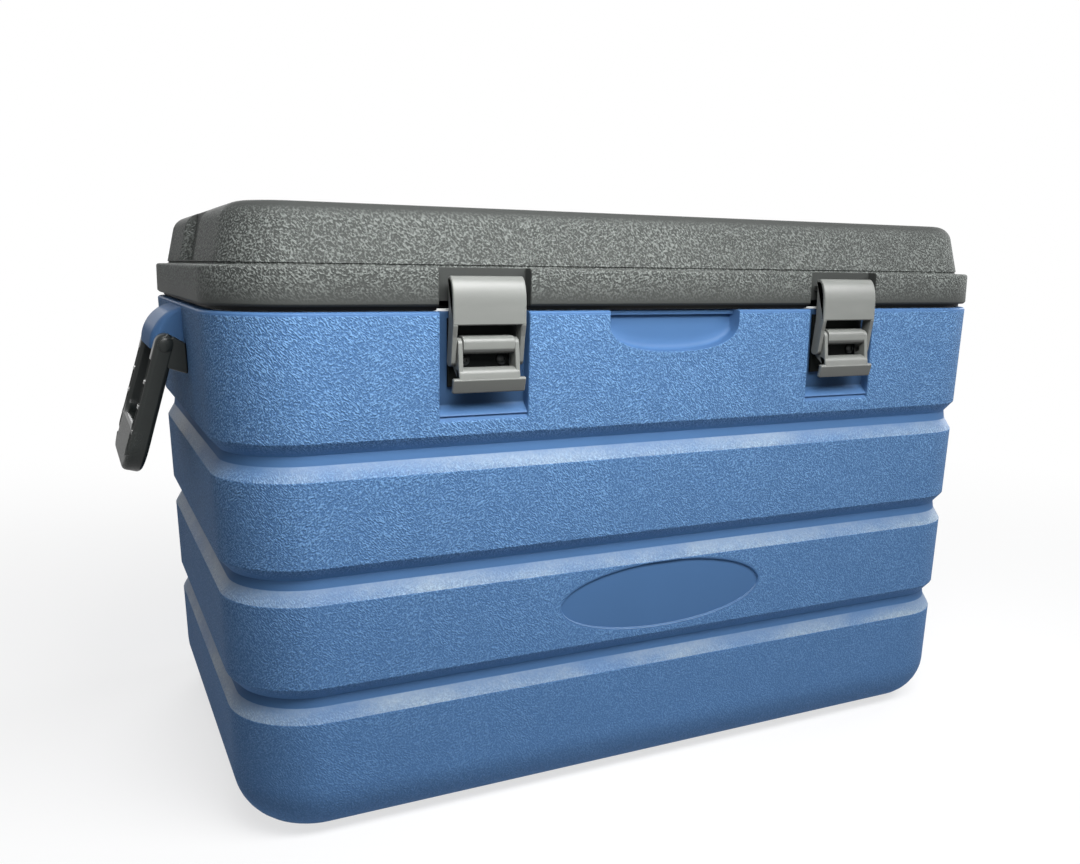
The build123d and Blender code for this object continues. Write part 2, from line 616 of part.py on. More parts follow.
def latch_strap(centre):
    """Bowed strap of a latch: a hooked plate with two cheeks beside an open window."""
    out, rise = STRAP_PIVOT
    inner_face = STRAP_PROUD - STRAP_THICK
    underside = STRAP_TOP - STRAP_THICK
    bend = (0, STRAP_BEND)
    bow = EllipticalCenterArc(bend, STRAP_PROUD, STRAP_TOP - STRAP_BEND, start_angle=0, arc_size=90)
    inner_bow = EllipticalCenterArc(bend, inner_face, underside - STRAP_BEND, start_angle=0, arc_size=90)
    front = Polyline((STRAP_PROUD, STRAP_BEND), (STRAP_PROUD, STRAP_WINDOW),
                     (inner_face, STRAP_WINDOW), (inner_face, STRAP_BEND))
    nose = Polyline((0, STRAP_TOP), (STRAP_NOSE, STRAP_TOP - NOSE_DROP),
                    (STRAP_NOSE, underside - NOSE_DROP), (0, underside))
    plane = Plane(origin=(centre + LATCH_WIDTH / 2, FRONT, RIM_HEIGHT), x_dir=(0, -1, 0), z_dir=(-1, 0, 0))
    strap = extrude(plane * make_face(bow + inner_bow + front + nose), LATCH_WIDTH)
    cheek = [
        (0, STRAP_TOP - STRAP_THICK / 2), (STRAP_PROUD - STRAP_THICK / 2, STRAP_BEND),
        (STRAP_PROUD, STRAP_WINDOW), (STRAP_PROUD - STRAP_THICK / 2, STRAP_WINDOW - CHEEK_SHOULDER),
        (out + STRAP_EYE, rise), (out - STRAP_EYE, rise),
        (CHEEK_BACK, STRAP_WINDOW), (CHEEK_BACK, underside),
    ]
    for side in (-1, 1):
        middle = centre + side * (LATCH_WIDTH / 2 - CHEEK / 2)
        strap += front_profile(cheek, middle, CHEEK)
        strap += front_rod(STRAP_PIVOT, middle - CHEEK / 2, middle + CHEEK / 2, STRAP_EYE)
    return strap - latch_bore(STRAP_PIVOT, centre, RUN_GAP)


def lever_pin(centre):
    """Steel pin through the bracket's barrel and the lever's arms."""
    return front_rod(LEVER_PIVOT, centre - LEVER_OUTER, centre + LEVER_OUTER, LATCH_PIN_RADIUS)


def strap_pins(centre):
    """Two short steel pins, each through one arm of the lever and one cheek of the strap."""
    near = LEVER_OUTER - LEVER_ARM
    far = LATCH_WIDTH / 2 - PIN_END_INSET
    ends = [(centre + side * near, centre + side * far) for side in (-1, 1)]
    return [front_rod(STRAP_PIVOT, start, stop, LATCH_PIN_RADIUS) for start, stop in ends]


# ---------------------------------------------------------------------- hinges
def knuckle(x_low, x_high, bore_gap):
    """One bored knuckle on the hinge axis."""
    solid = rod((x_low, HINGE_Y, HINGE_Z), (x_high, HINGE_Y, HINGE_Z), KNUCKLE_RADIUS)
    return solid - rod((x_low, HINGE_Y, HINGE_Z), (x_high, HINGE_Y, HINGE_Z), HINGE_PIN_RADIUS + bore_gap)


def hinge_body_leaf(centre):
    """Lower leaf: a plate on the shell with two outer knuckles."""
    half = HINGE_WIDTH / 2
    leaf = span_box(centre - half, centre + half, REAR, REAR + LEAF_THICK, LEAF_TOP - LEAF_HEIGHT, LEAF_TOP)
    for side in (-1, 1):
        inner = centre + side * (CENTRE_KNUCKLE / 2 + KNUCKLE_GAP)
        outer = centre + side * half
        low, high = sorted((inner, outer))
        web = span_box(low, high, REAR, HINGE_Y, LEAF_TOP - LEAF_WEB, HINGE_Z)
        bore = rod((low, HINGE_Y, HINGE_Z), (high, HINGE_Y, HINGE_Z), HINGE_PIN_RADIUS + FIT_GAP)
        leaf = leaf + (web - bore) + knuckle(low, high, FIT_GAP)
    for seat in hinge_screw_seats(centre, BODY_LEAF_SCREW_Z):
        leaf -= screw_hole(seat, (0, -1, 0))
    return leaf


def hinge_lid_leaf(centre):
    """Upper leaf: a plate on the lid skirt with one centre knuckle."""
    half = HINGE_WIDTH / 2
    low, high = centre - CENTRE_KNUCKLE / 2, centre + CENTRE_KNUCKLE / 2
    leaf = span_box(centre - half, centre + half, REAR, REAR + LEAF_THICK,
                    LID_LEAF_BOTTOM, LID_LEAF_BOTTOM + LID_LEAF_HEIGHT)
    web = span_box(low, high, REAR, HINGE_Y, HINGE_Z, HINGE_Z + KNUCKLE_RADIUS)
    web -= rod((low, HINGE_Y, HINGE_Z), (high, HINGE_Y, HINGE_Z), HINGE_PIN_RADIUS + RUN_GAP)
    leaf = leaf + web + knuckle(low, high, RUN_GAP)
    for seat in hinge_screw_seats(centre, LID_LEAF_SCREW_Z):
        leaf -= screw_hole(seat, (0, -1, 0))
    return leaf


def hinge_pin(centre):
    """Steel pin through all three knuckles."""
    half = HINGE_WIDTH / 2
    return rod((centre - half, HINGE_Y, HINGE_Z), (centre + half, HINGE_Y, HINGE_Z), HINGE_PIN_RADIUS)


# --------------------------------------------------------------------- handles
def handle_heels():
    """Pads that rest on the left wall and hold the handle out at its tilt."""
    pivot_x, pivot_z = -HANDLE_PIVOT_X, HANDLE_PIVOT_HEIGHT
    wall_x = SIDE_DRAFT * HANDLE_PIVOT_DROP - WIDTH / 2 - HEEL_GAP
    foot_x = wall_x + SIDE_DRAFT * HEEL_DROP
    tilt = math.radians(HANDLE_TILT)
    toe = (pivot_x - HEEL_TOE * math.sin(tilt), pivot_z - HEEL_TOE * math.cos(tilt))
    crown = (pivot_x + HEEL_CROWN[0], pivot_z + HEEL_CROWN[1])
    outline = [(pivot_x, pivot_z), crown, (wall_x, pivot_z), (foot_x, pivot_z - HEEL_DROP), toe]
    width = HANDLE_ARM_WIDTH - 2 * HEEL_SIDE
    pads = []
    for end in (-1, 1):
        far_y = (end * (HANDLE_SPAN - HANDLE_ARM_WIDTH) + width) / 2
        plane = Plane(origin=(0, far_y, 0), x_dir=(1, 0, 0), z_dir=(0, -1, 0))
        pads.append(extrude(plane * make_face(Polyline(*outline, close=True)), width))
    return pads


def left_handle_solid():
    """Bail handle: two slotted arms and a deep grip, tilted out from its pivot."""
    height = HANDLE_DROP + HANDLE_CROWN
    frame = span_box(-HANDLE_THICK / 2, HANDLE_THICK / 2, -HANDLE_SPAN / 2, HANDLE_SPAN / 2,
                     -HANDLE_DROP, HANDLE_CROWN)
    frame = fillet(frame.edges().filter_by(Axis.X).group_by(Axis.Z)[0], HANDLE_CORNER)
    loop_half = HANDLE_SPAN / 2 - HANDLE_ARM_WIDTH
    loop = span_box(-HANDLE_THICK, HANDLE_THICK, -loop_half, loop_half, HANDLE_GRIP - HANDLE_DROP, height)
    loop = fillet(loop.edges().filter_by(Axis.X).group_by(Axis.Z)[0], HANDLE_CORNER / 2)
    handle = frame - loop
    handle = fillet(handle.edges(), HANDLE_EDGE)
    for end in (-1, 1):
        arm_y = end * (HANDLE_SPAN / 2 - HANDLE_ARM_WIDTH / 2)
        half = HANDLE_ARM_WIDTH / 2 - SLOT_WALL
        for index in range(SLOT_COUNT):
            top = -(SLOT_FIRST + index * SLOT_PITCH)
            handle -= span_box(-HANDLE_THICK, -HANDLE_THICK / 2 + SLOT_DEPTH, arm_y - half, arm_y + half,
                               top - SLOT_LENGTH, top)
    handle = handle.rotate(Axis.Y, HANDLE_TILT)
    handle = handle.translate((-HANDLE_PIVOT_X, 0, HANDLE_PIVOT_HEIGHT))
    for pad in handle_heels():
        handle += pad
    start = (-HANDLE_PIVOT_X, -HANDLE_SPAN, HANDLE_PIVOT_HEIGHT)
    stop = (-HANDLE_PIVOT_X, HANDLE_SPAN, HANDLE_PIVOT_HEIGHT)
    return handle - rod(start, stop, HANDLE_PIN_RADIUS + RUN_GAP)


def handle_pins(side):
    """Two headed steel pins that hang one handle on its hood."""
    x = side * HANDLE_PIVOT_X
    pins = []
    for end in (-1, 1):
        inner = end * (HOOD_HALF - HANDLE_PIN_REACH)
        face = end * (HANDLE_SPAN / 2 + HANDLE_PIN_GAP)
        head_end = face + end * HANDLE_PIN_HEAD_HEIGHT
        pin = rod((x, inner, HANDLE_PIVOT_HEIGHT), (x, face, HANDLE_PIVOT_HEIGHT), HANDLE_PIN_RADIUS)
        pin += rod((x, face, HANDLE_PIVOT_HEIGHT), (x, head_end, HANDLE_PIVOT_HEIGHT), HANDLE_PIN_HEAD)
        pins.append(pin)
    return pins


# ----------------------------------------------------------------------- output
parts = {
    "outer_shell": outer_shell,
    "body_foam": body_foam,
    "inner_liner": inner_liner,
    "lid_shell": lid_shell,
    "lid_foam": lid_foam,
    "lid_liner": lid_liner,
    "lid_gasket": lid_gasket,
}
for name, side in SIDES:
    latch_x = LATCH_SHIFT + side * LATCH_X
    hinge_x = side * HINGE_X
    parts[name + "_latch_bracket"] = latch_bracket(latch_x)
    parts[name + "_latch_lever"] = latch_lever(latch_x)
    parts[name + "_latch_strap"] = latch_strap(latch_x)
    parts[name + "_lever_pin"] = lever_pin(latch_x)
    parts[name + "_strap_pins"] = Compound(children=strap_pins(latch_x))
    parts[name + "_hinge_body_leaf"] = hinge_body_leaf(hinge_x)
    parts[name + "_hinge_lid_leaf"] = hinge_lid_leaf(hinge_x)
    parts[name + "_hinge_pin"] = hinge_pin(hinge_x)
    parts[name + "_handle_pins"] = Compound(children=handle_pins(side))

left_handle = left_handle_solid()
parts["left_handle"] = left_handle
parts["right_handle"] = mirror(left_handle, about=Plane.YZ)

bracket_seats = [seat for centre in LATCH_CENTRES for seat in bracket_screw_seats(centre)]
body_seats = [seat for centre in HINGE_CENTRES for seat in hinge_screw_seats(centre, BODY_LEAF_SCREW_Z)]
lid_seats = [seat for centre in HINGE_CENTRES for seat in hinge_screw_seats(centre, LID_LEAF_SCREW_Z)]
parts["latch_bracket_screws"] = Compound(children=[screw(seat, (0, 1, 0)) for seat in bracket_seats])
parts["hinge_body_screws"] = Compound(children=[screw(seat, (0, -1, 0)) for seat in body_seats])
parts["hinge_lid_screws"] = Compound(children=[screw(seat, (0, -1, 0)) for seat in lid_seats])

os.makedirs("parts", exist_ok=True)
for name, shape in parts.items():
    export_step(shape, "parts/" + name + ".step")
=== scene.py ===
import math

import bpy
import numpy as np
from bpy.props import FloatProperty, FloatVectorProperty, PointerProperty
from mathutils import Matrix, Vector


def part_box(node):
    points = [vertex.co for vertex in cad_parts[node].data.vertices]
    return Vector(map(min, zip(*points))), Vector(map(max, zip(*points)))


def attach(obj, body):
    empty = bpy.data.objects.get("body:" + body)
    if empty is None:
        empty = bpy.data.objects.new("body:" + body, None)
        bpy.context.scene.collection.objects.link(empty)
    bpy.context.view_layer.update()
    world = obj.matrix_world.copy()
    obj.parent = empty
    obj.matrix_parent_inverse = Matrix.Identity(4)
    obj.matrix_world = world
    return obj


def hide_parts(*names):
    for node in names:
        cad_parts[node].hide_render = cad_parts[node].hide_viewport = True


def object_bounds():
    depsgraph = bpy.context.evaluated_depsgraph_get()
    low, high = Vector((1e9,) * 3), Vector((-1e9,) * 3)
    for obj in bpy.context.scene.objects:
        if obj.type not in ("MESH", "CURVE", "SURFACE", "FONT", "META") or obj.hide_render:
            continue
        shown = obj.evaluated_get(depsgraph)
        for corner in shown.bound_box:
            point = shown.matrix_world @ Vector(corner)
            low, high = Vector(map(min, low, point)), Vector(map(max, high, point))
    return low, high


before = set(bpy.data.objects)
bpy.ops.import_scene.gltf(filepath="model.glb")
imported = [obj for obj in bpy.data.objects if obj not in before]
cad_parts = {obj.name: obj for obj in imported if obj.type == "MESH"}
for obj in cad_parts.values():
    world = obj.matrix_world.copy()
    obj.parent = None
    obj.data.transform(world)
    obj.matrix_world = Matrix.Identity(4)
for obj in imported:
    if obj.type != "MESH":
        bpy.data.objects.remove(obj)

bl_info = {
    "name": "Insulated carry box",
    "version": (1, 0, 0),
    "blender": (4, 5, 0),
    "location": "View3D > Sidebar > Carry Box",
    "description": "Case, lid, draw latches and swing handles of a hard insulated carry box",
    "category": "Add Mesh",
}

CAD_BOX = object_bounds()
SIDES = (("left", -1.0), ("right", 1.0))


def length(name, description, default):
    """A size in metres that a user can change."""
    return FloatProperty(name=name, description=description, default=default, unit="LENGTH", precision=4)


def number(name, description, default):
    """A bare number that a user can change."""
    return FloatProperty(name=name, description=description, default=default)


def angle(name, description, degrees):
    """An angle that a user can change."""
    return FloatProperty(name=name, description=description, default=math.radians(degrees), subtype="ANGLE")


def colour(name, description, default):
    """A surface colour that a user can change."""
    return FloatVectorProperty(name=name, description=description, default=default, size=3,
                               subtype="COLOR", min=0.0, max=1.0)


# ---------------------------------------------------------------------- sizes
class CaseSizes(bpy.types.PropertyGroup):
    """Sizes of the case and of what is pressed into its front."""
    width: length("Width", "Over the lid's skirt, along X", 0.6)
    depth: length("Depth", "Over the lid's skirt, along Y", 0.364)
    rim: length("Rim height", "Floor to the case's rim", 0.33)
    corner: length("Corner radius", "Radius of the upright corners in plan", 0.052)
    side_draft: number("End draft", "Lean of the ends, per unit of height", 0.037)
    front_draft: number("Front draft", "Lean of the front and rear", 0.017)
    base_round: length("Base round", "Round between the walls and the floor", 0.035)
    groove_low: length("Lowest groove", "Height of the lowest groove's root", 0.0955)
    groove_pitch: length("Groove pitch", "Height from one groove to the next", 0.0755)
    groove_depth: length("Groove depth", "How far the grooves cut in", 0.0065)
    finger_width: length("Finger pull width", "Width of the scoop below the lid", 0.102)
    finger_height: length("Finger pull height", "Height of the scoop below the lid", 0.0274)
    finger_side: length("Finger pull side", "Straight part of the scoop's sides", 0.008)
    finger_depth: length("Finger pull depth", "Depth of the scoop", 0.0098)
    oval_width: length("Oval width", "Width of the bare oval", 0.163)
    oval_height: length("Oval height", "Height of the bare oval", 0.047)
    oval_centre: length("Oval centre", "Height of the oval's middle", 0.1318)
    oval_depth: length("Oval depth", "Depth of the oval", 0.0015)


class LidSizes(bpy.types.PropertyGroup):
    """Sizes of the lid."""
    seam: length("Seam", "Gap between the rim and the skirt", 0.003)
    skirt: length("Skirt height", "Height of the lid's skirt", 0.023)
    bevel: length("Skirt bevel", "Bevel under the skirt", 0.0015)
    ledge: length("Crown inset", "Ledge between the skirt and the crown", 0.0085)
    crown: length("Crown height", "Skirt's top to the lid's top", 0.037)
    crown_round: length("Crown round", "Round at the crown's top edge", 0.013)
    crown_lean: angle("Crown lean", "Lean of the crown's end faces", 12.0)
    dip_width: length("Dip width", "Width of the dip in each end of the crown", 0.084)
    dip_inset: length("Dip inset", "Skirt's face to the dip's floor", 0.017)


class LatchSizes(bpy.types.PropertyGroup):
    """Sizes of the draw latches and of the places sunk for them."""
    place: length("Place", "Half the distance between the latches' middles", 0.141)
    shift: length("Shift", "Middle of the box to the middle of the pair", 0.0025)
    width: length("Width", "Width over the strap", 0.048)
    pocket_side: length("Pocket side gap", "Latch to the pocket's side walls", 0.0055)
    pocket_depth: length("Pocket depth", "Depth of the pocket behind the latch", 0.007)
    notch_side: length("Notch side gap", "Latch to the sides of the skirt's notch", 0.006)
    notch_depth: length("Notch depth", "Depth of the notch in the skirt", 0.008)
    cheek: length("Cheek", "Thickness of the strap's cheeks", 0.0032)
    arm: length("Arm", "Thickness of the lever's arms", 0.003)


class HandleSizes(bpy.types.PropertyGroup):
    """Sizes of the swing handles and of the hoods that carry them."""
    pivot_out: length("Pivot reach", "Case's side to the pivot", 0.012)
    pivot_height: length("Pivot height", "Floor to the pivot", 0.304)
    span: length("Span", "Width over both arms", 0.115)
    arm: length("Arm width", "Width of an arm", 0.015)
    thick: length("Thickness", "Thickness of the handle", 0.013)
    drop: length("Drop", "Pivot to the grip's lower edge", 0.0885)
    grip: length("Grip", "Depth of the grip", 0.03)
    tilt: angle("Tilt", "Outward lean at rest", 16.0)
    hood_half: length("Hood half width", "Middle of the hood to its end", 0.0415)
    hood_reach: length("Hood reach", "How far the hood stands out", 0.0205)


class Finishes(bpy.types.PropertyGroup):
    """Colours of the materials."""
    case_blue: colour("Case", "Pebbled blue plastic", (0.072, 0.172, 0.366))
    lid_grey: colour("Lid", "Pebbled dark plastic", (0.034, 0.037, 0.035))
    latch_grey: colour("Latches", "Satin grey plastic", (0.158, 0.165, 0.155))
    handle_black: colour("Handles", "Near-black plastic", (0.016, 0.019, 0.018))
    hinge_grey: colour("Hinges", "Dark plastic", (0.07, 0.074, 0.072))
    liner_white: colour("Liner", "White plastic", (0.78, 0.79, 0.78))
    foam: colour("Foam", "Rigid foam", (0.8, 0.72, 0.5))
    gasket: colour("Gasket", "Soft seal", (0.03, 0.03, 0.03))
    steel: colour("Steel", "Pins and screws", (0.52, 0.52, 0.51))


class StageSettings(bpy.types.PropertyGroup):
    """Camera, lamps and floor."""
    lens: FloatProperty(name="Lens", description="Focal length", default=32.93, unit="CAMERA")
    yaw: angle("Yaw", "Turn of the view about Z", -25.724)
    pitch: angle("Pitch", "Tilt of the view", -9.476)
    roll: angle("Roll", "Roll of the view", 0.805)
    place: FloatVectorProperty(name="Camera", description="Place of the camera",
                               default=(-0.3707, -0.7419, 0.3571), subtype="XYZ", unit="LENGTH")
    floor_size: length("Floor", "Half the floor's width", 6.0)


class CarryBox(bpy.types.PropertyGroup):
    """Everything that the builders read."""
    case: PointerProperty(type=CaseSizes)
    lid: PointerProperty(type=LidSizes)
    latch: PointerProperty(type=LatchSizes)
    handle: PointerProperty(type=HandleSizes)
    finish: PointerProperty(type=Finishes)
    stage: PointerProperty(type=StageSettings)


# ------------------------------------------------------------------ plane maths
def unit(vectors):
    """Vectors divided by their lengths."""
    return vectors / np.linalg.norm(vectors, axis=-1, keepdims=True)


def held(values):
    """Values held between 0 and 1."""
    return np.clip(values, 0.0, 1.0)


def quarter(count):
    """One less the sine, and one less the cosine, of even turns from nothing to a right angle."""
    turn = np.linspace(0.0, np.pi / 2, count)
    return 1 - np.sin(turn), 1 - np.cos(turn)


def soften(corners, radii, steps=4, closed=True):
    """Outline whose corners are arcs.

    An arc's centre lies on its corner's bisector, the radius over the sine of the half
    angle away, and its points turn evenly from one touching point to the other.
    """
    corners = np.asarray(corners, float)
    radii = np.array(np.broadcast_to(radii, len(corners)), float)
    before = unit(np.roll(corners, 1, 0) - corners)
    after = unit(np.roll(corners, -1, 0) - corners)
    half = np.arccos(np.clip((before * after).sum(1), -1.0, 1.0)) / 2
    centre = corners + unit(before + after) * (radii / np.sin(half))[:, None]
    reach = (radii / np.tan(half))[:, None]
    start = corners + before * reach - centre
    stop = corners + after * reach - centre
    turn = (np.pi - 2 * half)[:, None, None]
    share = np.linspace(0.0, 1.0, steps + 1)[None, :, None]
    arcs = np.sin((1 - share) * turn) * start[:, None] + np.sin(share * turn) * stop[:, None]
    arcs = centre[:, None] + arcs / np.sin(turn)
    if closed:
        return arcs.reshape(-1, 2)
    return np.vstack([corners[:1], arcs[1:-1].reshape(-1, 2), corners[-1:]])


def normals_of(outline):
    """Unit normals of a closed outline: its central differences turned by a right angle."""
    ahead = np.roll(outline, -1, 0) - np.roll(outline, 1, 0)
    turned = unit(np.stack([ahead[:, 1], -ahead[:, 0]], -1))
    x, y = outline.T
    area = np.sum(x * np.roll(y, -1) - np.roll(x, -1) * y)
    return turned if area > 0 else -turned


def densify(values, step):
    """Values with more put evenly between them, so that no gap is over a step."""
    values = np.asarray(values, float)
    counts = np.maximum(1, np.ceil(np.diff(values) / step)).astype(int)
    starts = np.repeat(values[:-1], counts)
    gaps = np.repeat(np.diff(values) / counts, counts)
    order = np.arange(counts.sum()) - np.repeat(np.cumsum(counts) - counts, counts)
    return np.append(starts + gaps * order, values[-1])


# -------------------------------------------------------------------- surfaces
SHARP_ANGLE = math.radians(50.0)    # edges that turn by more than this are drawn sharp


class Surface:
    """Vertices, faces and the grain mask of one mesh, gathered grid by grid."""

    def __init__(self):
        self.points, self.grain, self.quads, self.caps = [], [], [], []

    def add_points(self, points, grain):
        """Adds points and gives their numbers, in the points' own layout."""
        first = sum(map(len, self.points))
        self.points.append(points.reshape(-1, 3))
        self.grain.append(np.broadcast_to(grain, points.shape[:-1]).reshape(-1))
        return first + np.arange(len(self.points[-1])).reshape(points.shape[:-1])

    def add_quads(self, index, looped=False, keep=slice(None)):
        """Joins a numbered grid of points: its last column to its first, and its rows if it is looped."""
        index = np.pad(index, ((0, int(looped)), (0, 1)), "wrap")
        quads = np.stack([index[:-1, :-1], index[:-1, 1:], index[1:, 1:], index[1:, :-1]], -1)
        self.quads.append(quads[keep].reshape(-1, 4))

    def add_grid(self, points, grain=0.0, looped=False):
        """Adds a grid of rings, which is looped, or filled at its first and last ring."""
        index = self.add_points(points, grain)
        self.add_quads(index, looped)
        if not looped:
            self.caps += [index[0][::-1], index[-1]]

    def mesh(self, name):
        """The mesh: points that no face uses dropped, smooth up to the sharp angle."""
        quads = np.concatenate(self.quads)
        totals = np.array([4] * len(quads) + [len(cap) for cap in self.caps], np.int32)
        used, corners = np.unique(np.concatenate([quads.reshape(-1), *self.caps]), return_inverse=True)
        mesh = bpy.data.meshes.new(name)
        for part, field, values in (
                (mesh.vertices, "co", np.concatenate(self.points)[used].astype(np.float32)),
                (mesh.loops, "vertex_index", corners.astype(np.int32)),
                (mesh.polygons, "loop_start", (np.cumsum(totals) - totals).astype(np.int32))):
            part.add(len(values))
            part.foreach_set(field, values.reshape(-1))
        mesh.polygons.foreach_set("loop_total", totals)
        mesh.update(calc_edges=True)
        mesh.validate()
        layer = mesh.attributes.new("grain", "FLOAT", "POINT")
        layer.data.foreach_set("value", np.concatenate(self.grain)[used].astype(np.float32))
        mesh.shade_smooth()
        mesh.set_sharp_from_angle(angle=SHARP_ANGLE)
        return mesh


def outward(surface_grid):
    """Rings in the order that makes a closed grid's faces point outwards, by its signed volume.

    The volume is a sixth of the sum of each face's corner triple product.
    """
    ring = np.concatenate([surface_grid, surface_grid[:, :1]], 1)
    middle = surface_grid.reshape(-1, 3).mean(0)
    a, b = ring[:-1, :-1] - middle, ring[:-1, 1:] - middle
    c, d = ring[1:, 1:] - middle, ring[1:, :-1] - middle
    volume = np.sum(np.cross(a, b) * c) + np.sum(np.cross(a, c) * d)
    return surface_grid if volume > 0 else surface_grid[::-1]


def put(surface, name, look, body, node):
    """Makes a piece in its material, hangs it on its body's empty and hides the node that it stands for."""
    piece = bpy.data.objects.new(name, surface.mesh(name))
    bpy.context.scene.collection.objects.link(piece)
    piece.data.materials.append(material(look))
    weighted = piece.modifiers.new("Flat faces", "WEIGHTED_NORMAL")
    weighted.mode = "FACE_AREA_WITH_ANGLE"
    weighted.keep_sharp = True
    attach(piece, body)
    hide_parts(node)


def prism(outline, low, high, edge, place, steps=4):
    """Outline carried from low to high with rounded ends.

    Towards each end the outline moves in along its own normals by the edge radius less a
    quarter circle. place turns outward, up and along into a point.
    """
    inset, along = edge * np.array(quarter(steps + 1))
    insets = np.concatenate([inset, inset[::-1]])
    xs = np.concatenate([low + along, high - along[::-1]])
    flat = outline[None] - normals_of(outline)[None] * insets[:, None, None]
    return outward(place(flat[..., 0], flat[..., 1], np.broadcast_to(xs[:, None], flat.shape[:2])))


def tube(start, stop, profile, around=28):
    """Body of revolution: (along, radius) pairs turned about the line from start to stop."""
    start, stop = np.asarray(start, float), np.asarray(stop, float)
    axis = unit(stop - start)
    side = unit(np.cross(axis, [0.31, 0.54, 0.78]))
    other = np.cross(axis, side)
    turn = np.linspace(0.0, 2 * np.pi, around, endpoint=False)
    circle = np.cos(turn)[:, None] * side + np.sin(turn)[:, None] * other
    along, radius = np.asarray(profile, float).T
    return outward(start + along[:, None, None] * axis + radius[:, None, None] * circle[None])


# ------------------------------------------------------- rounded boxes in plan
class Plan:
    """Columns round a rounded rectangle, from the left end of the front on to the right.

    A column on a side stands at a fixed place plus a share of the straight's half length;
    a column on a corner stands at the straight's end plus a swing of the corner's radius.
    """

    def __init__(self, front, side, rear, turns):
        bends = np.linspace(0.0, np.pi / 2, turns + 1)
        shares = np.array([0.25, 0.5, 0.75])
        parts = []
        for leg, fixed in enumerate(map(np.asarray, (front, side, rear, side))):
            far = fixed[-1]
            across = np.concatenate([-far * (1 - shares[::-1]), fixed, far * (1 - shares)])
            share = np.concatenate([-shares[::-1], 0.0 * fixed, shares])
            none, bend = 0.0 * across, 0.0 * bends
            parts += [[leg + none, across, share, none, none + 1],
                      [leg + bend, bend, bend + 1, np.sin(bends), np.cos(bends)]]
        leg, self.fixed, self.share, self.swing, self.stand = np.concatenate(parts, 1)
        turn = leg * np.pi / 2
        self.along = np.stack([np.cos(turn), np.sin(turn)], -1).round(9)
        self.out = np.stack([np.sin(turn), -np.cos(turn)], -1).round(9)
        self.even = leg % 2 == 0
        self.front = (leg == 0) & (self.swing == 0)
        self.ends = ~self.even & (self.swing == 0)

    def rings(self, half_x, half_y, radius):
        """X and Y of every column for each ring's half sizes and corner radius."""
        half_x, half_y, radius = (np.asarray(v, float)[:, None] for v in (half_x, half_y, radius))
        straight_x, straight_y = half_x - radius, half_y - radius
        lengthwise = np.where(self.even, straight_x, straight_y)
        crosswise = np.where(self.even, straight_y, straight_x)
        along = self.fixed + self.share * lengthwise + self.swing * radius
        out = crosswise + self.stand * radius
        return (self.along[:, 0] * along + self.out[:, 0] * out,
                self.along[:, 1] * along + self.out[:, 1] * out)


LIP, WALL, FOOT = 0.0009, 0.0003, 0.0009    # widths of a sunk place's upper round, wall and lower round


def edge_columns(middle, half):
    """Places close to both sides of a sunk place, in its lip, its wall and its foot."""
    near = np.array([-2.5 * LIP, -LIP, -0.5 * LIP, -0.12 * LIP, 0.0, WALL, WALL + 0.15 * FOOT,
                     WALL + 0.5 * FOOT, WALL + FOOT, WALL + 2.5 * FOOT])
    return np.concatenate([middle - half + near, middle + half - near])


def sunk(inside, depth, lip=LIP, wall=WALL, foot=FOOT):
    """Depth at a distance inside an edge: a quarter circle over the lip, a steep wall, a quarter circle."""
    over = lip - np.sqrt(np.clip(lip ** 2 - np.clip(inside + lip, 0, lip) ** 2, 0, None))
    share = held(inside / wall)
    down = over + share * (depth - foot - lip)
    rest = np.clip(wall + foot - inside, 0, foot)
    under = depth - foot + np.sqrt(np.clip(foot ** 2 - rest ** 2, 0, None))
    return np.where(inside <= 0, over, np.where(inside < wall, down, np.minimum(under, depth)))


# ------------------------------------------------------------------- materials
class Flow:
    """A value on its way through a material; arithmetic on it adds Math nodes."""

    def __init__(self, shader, socket):
        self.shader, self.socket = shader, socket

    def __add__(self, other):
        return self.shader.maths("ADD", self, other)

    def __sub__(self, other):
        return self.shader.maths("SUBTRACT", self, other)

    def __rsub__(self, other):
        return self.shader.maths("SUBTRACT", other, self)

    def __mul__(self, other):
        return self.shader.maths("MULTIPLY", self, other)

    def __truediv__(self, other):
        return self.shader.maths("DIVIDE", self, other)

    __radd__ = __add__
    __rmul__ = __mul__


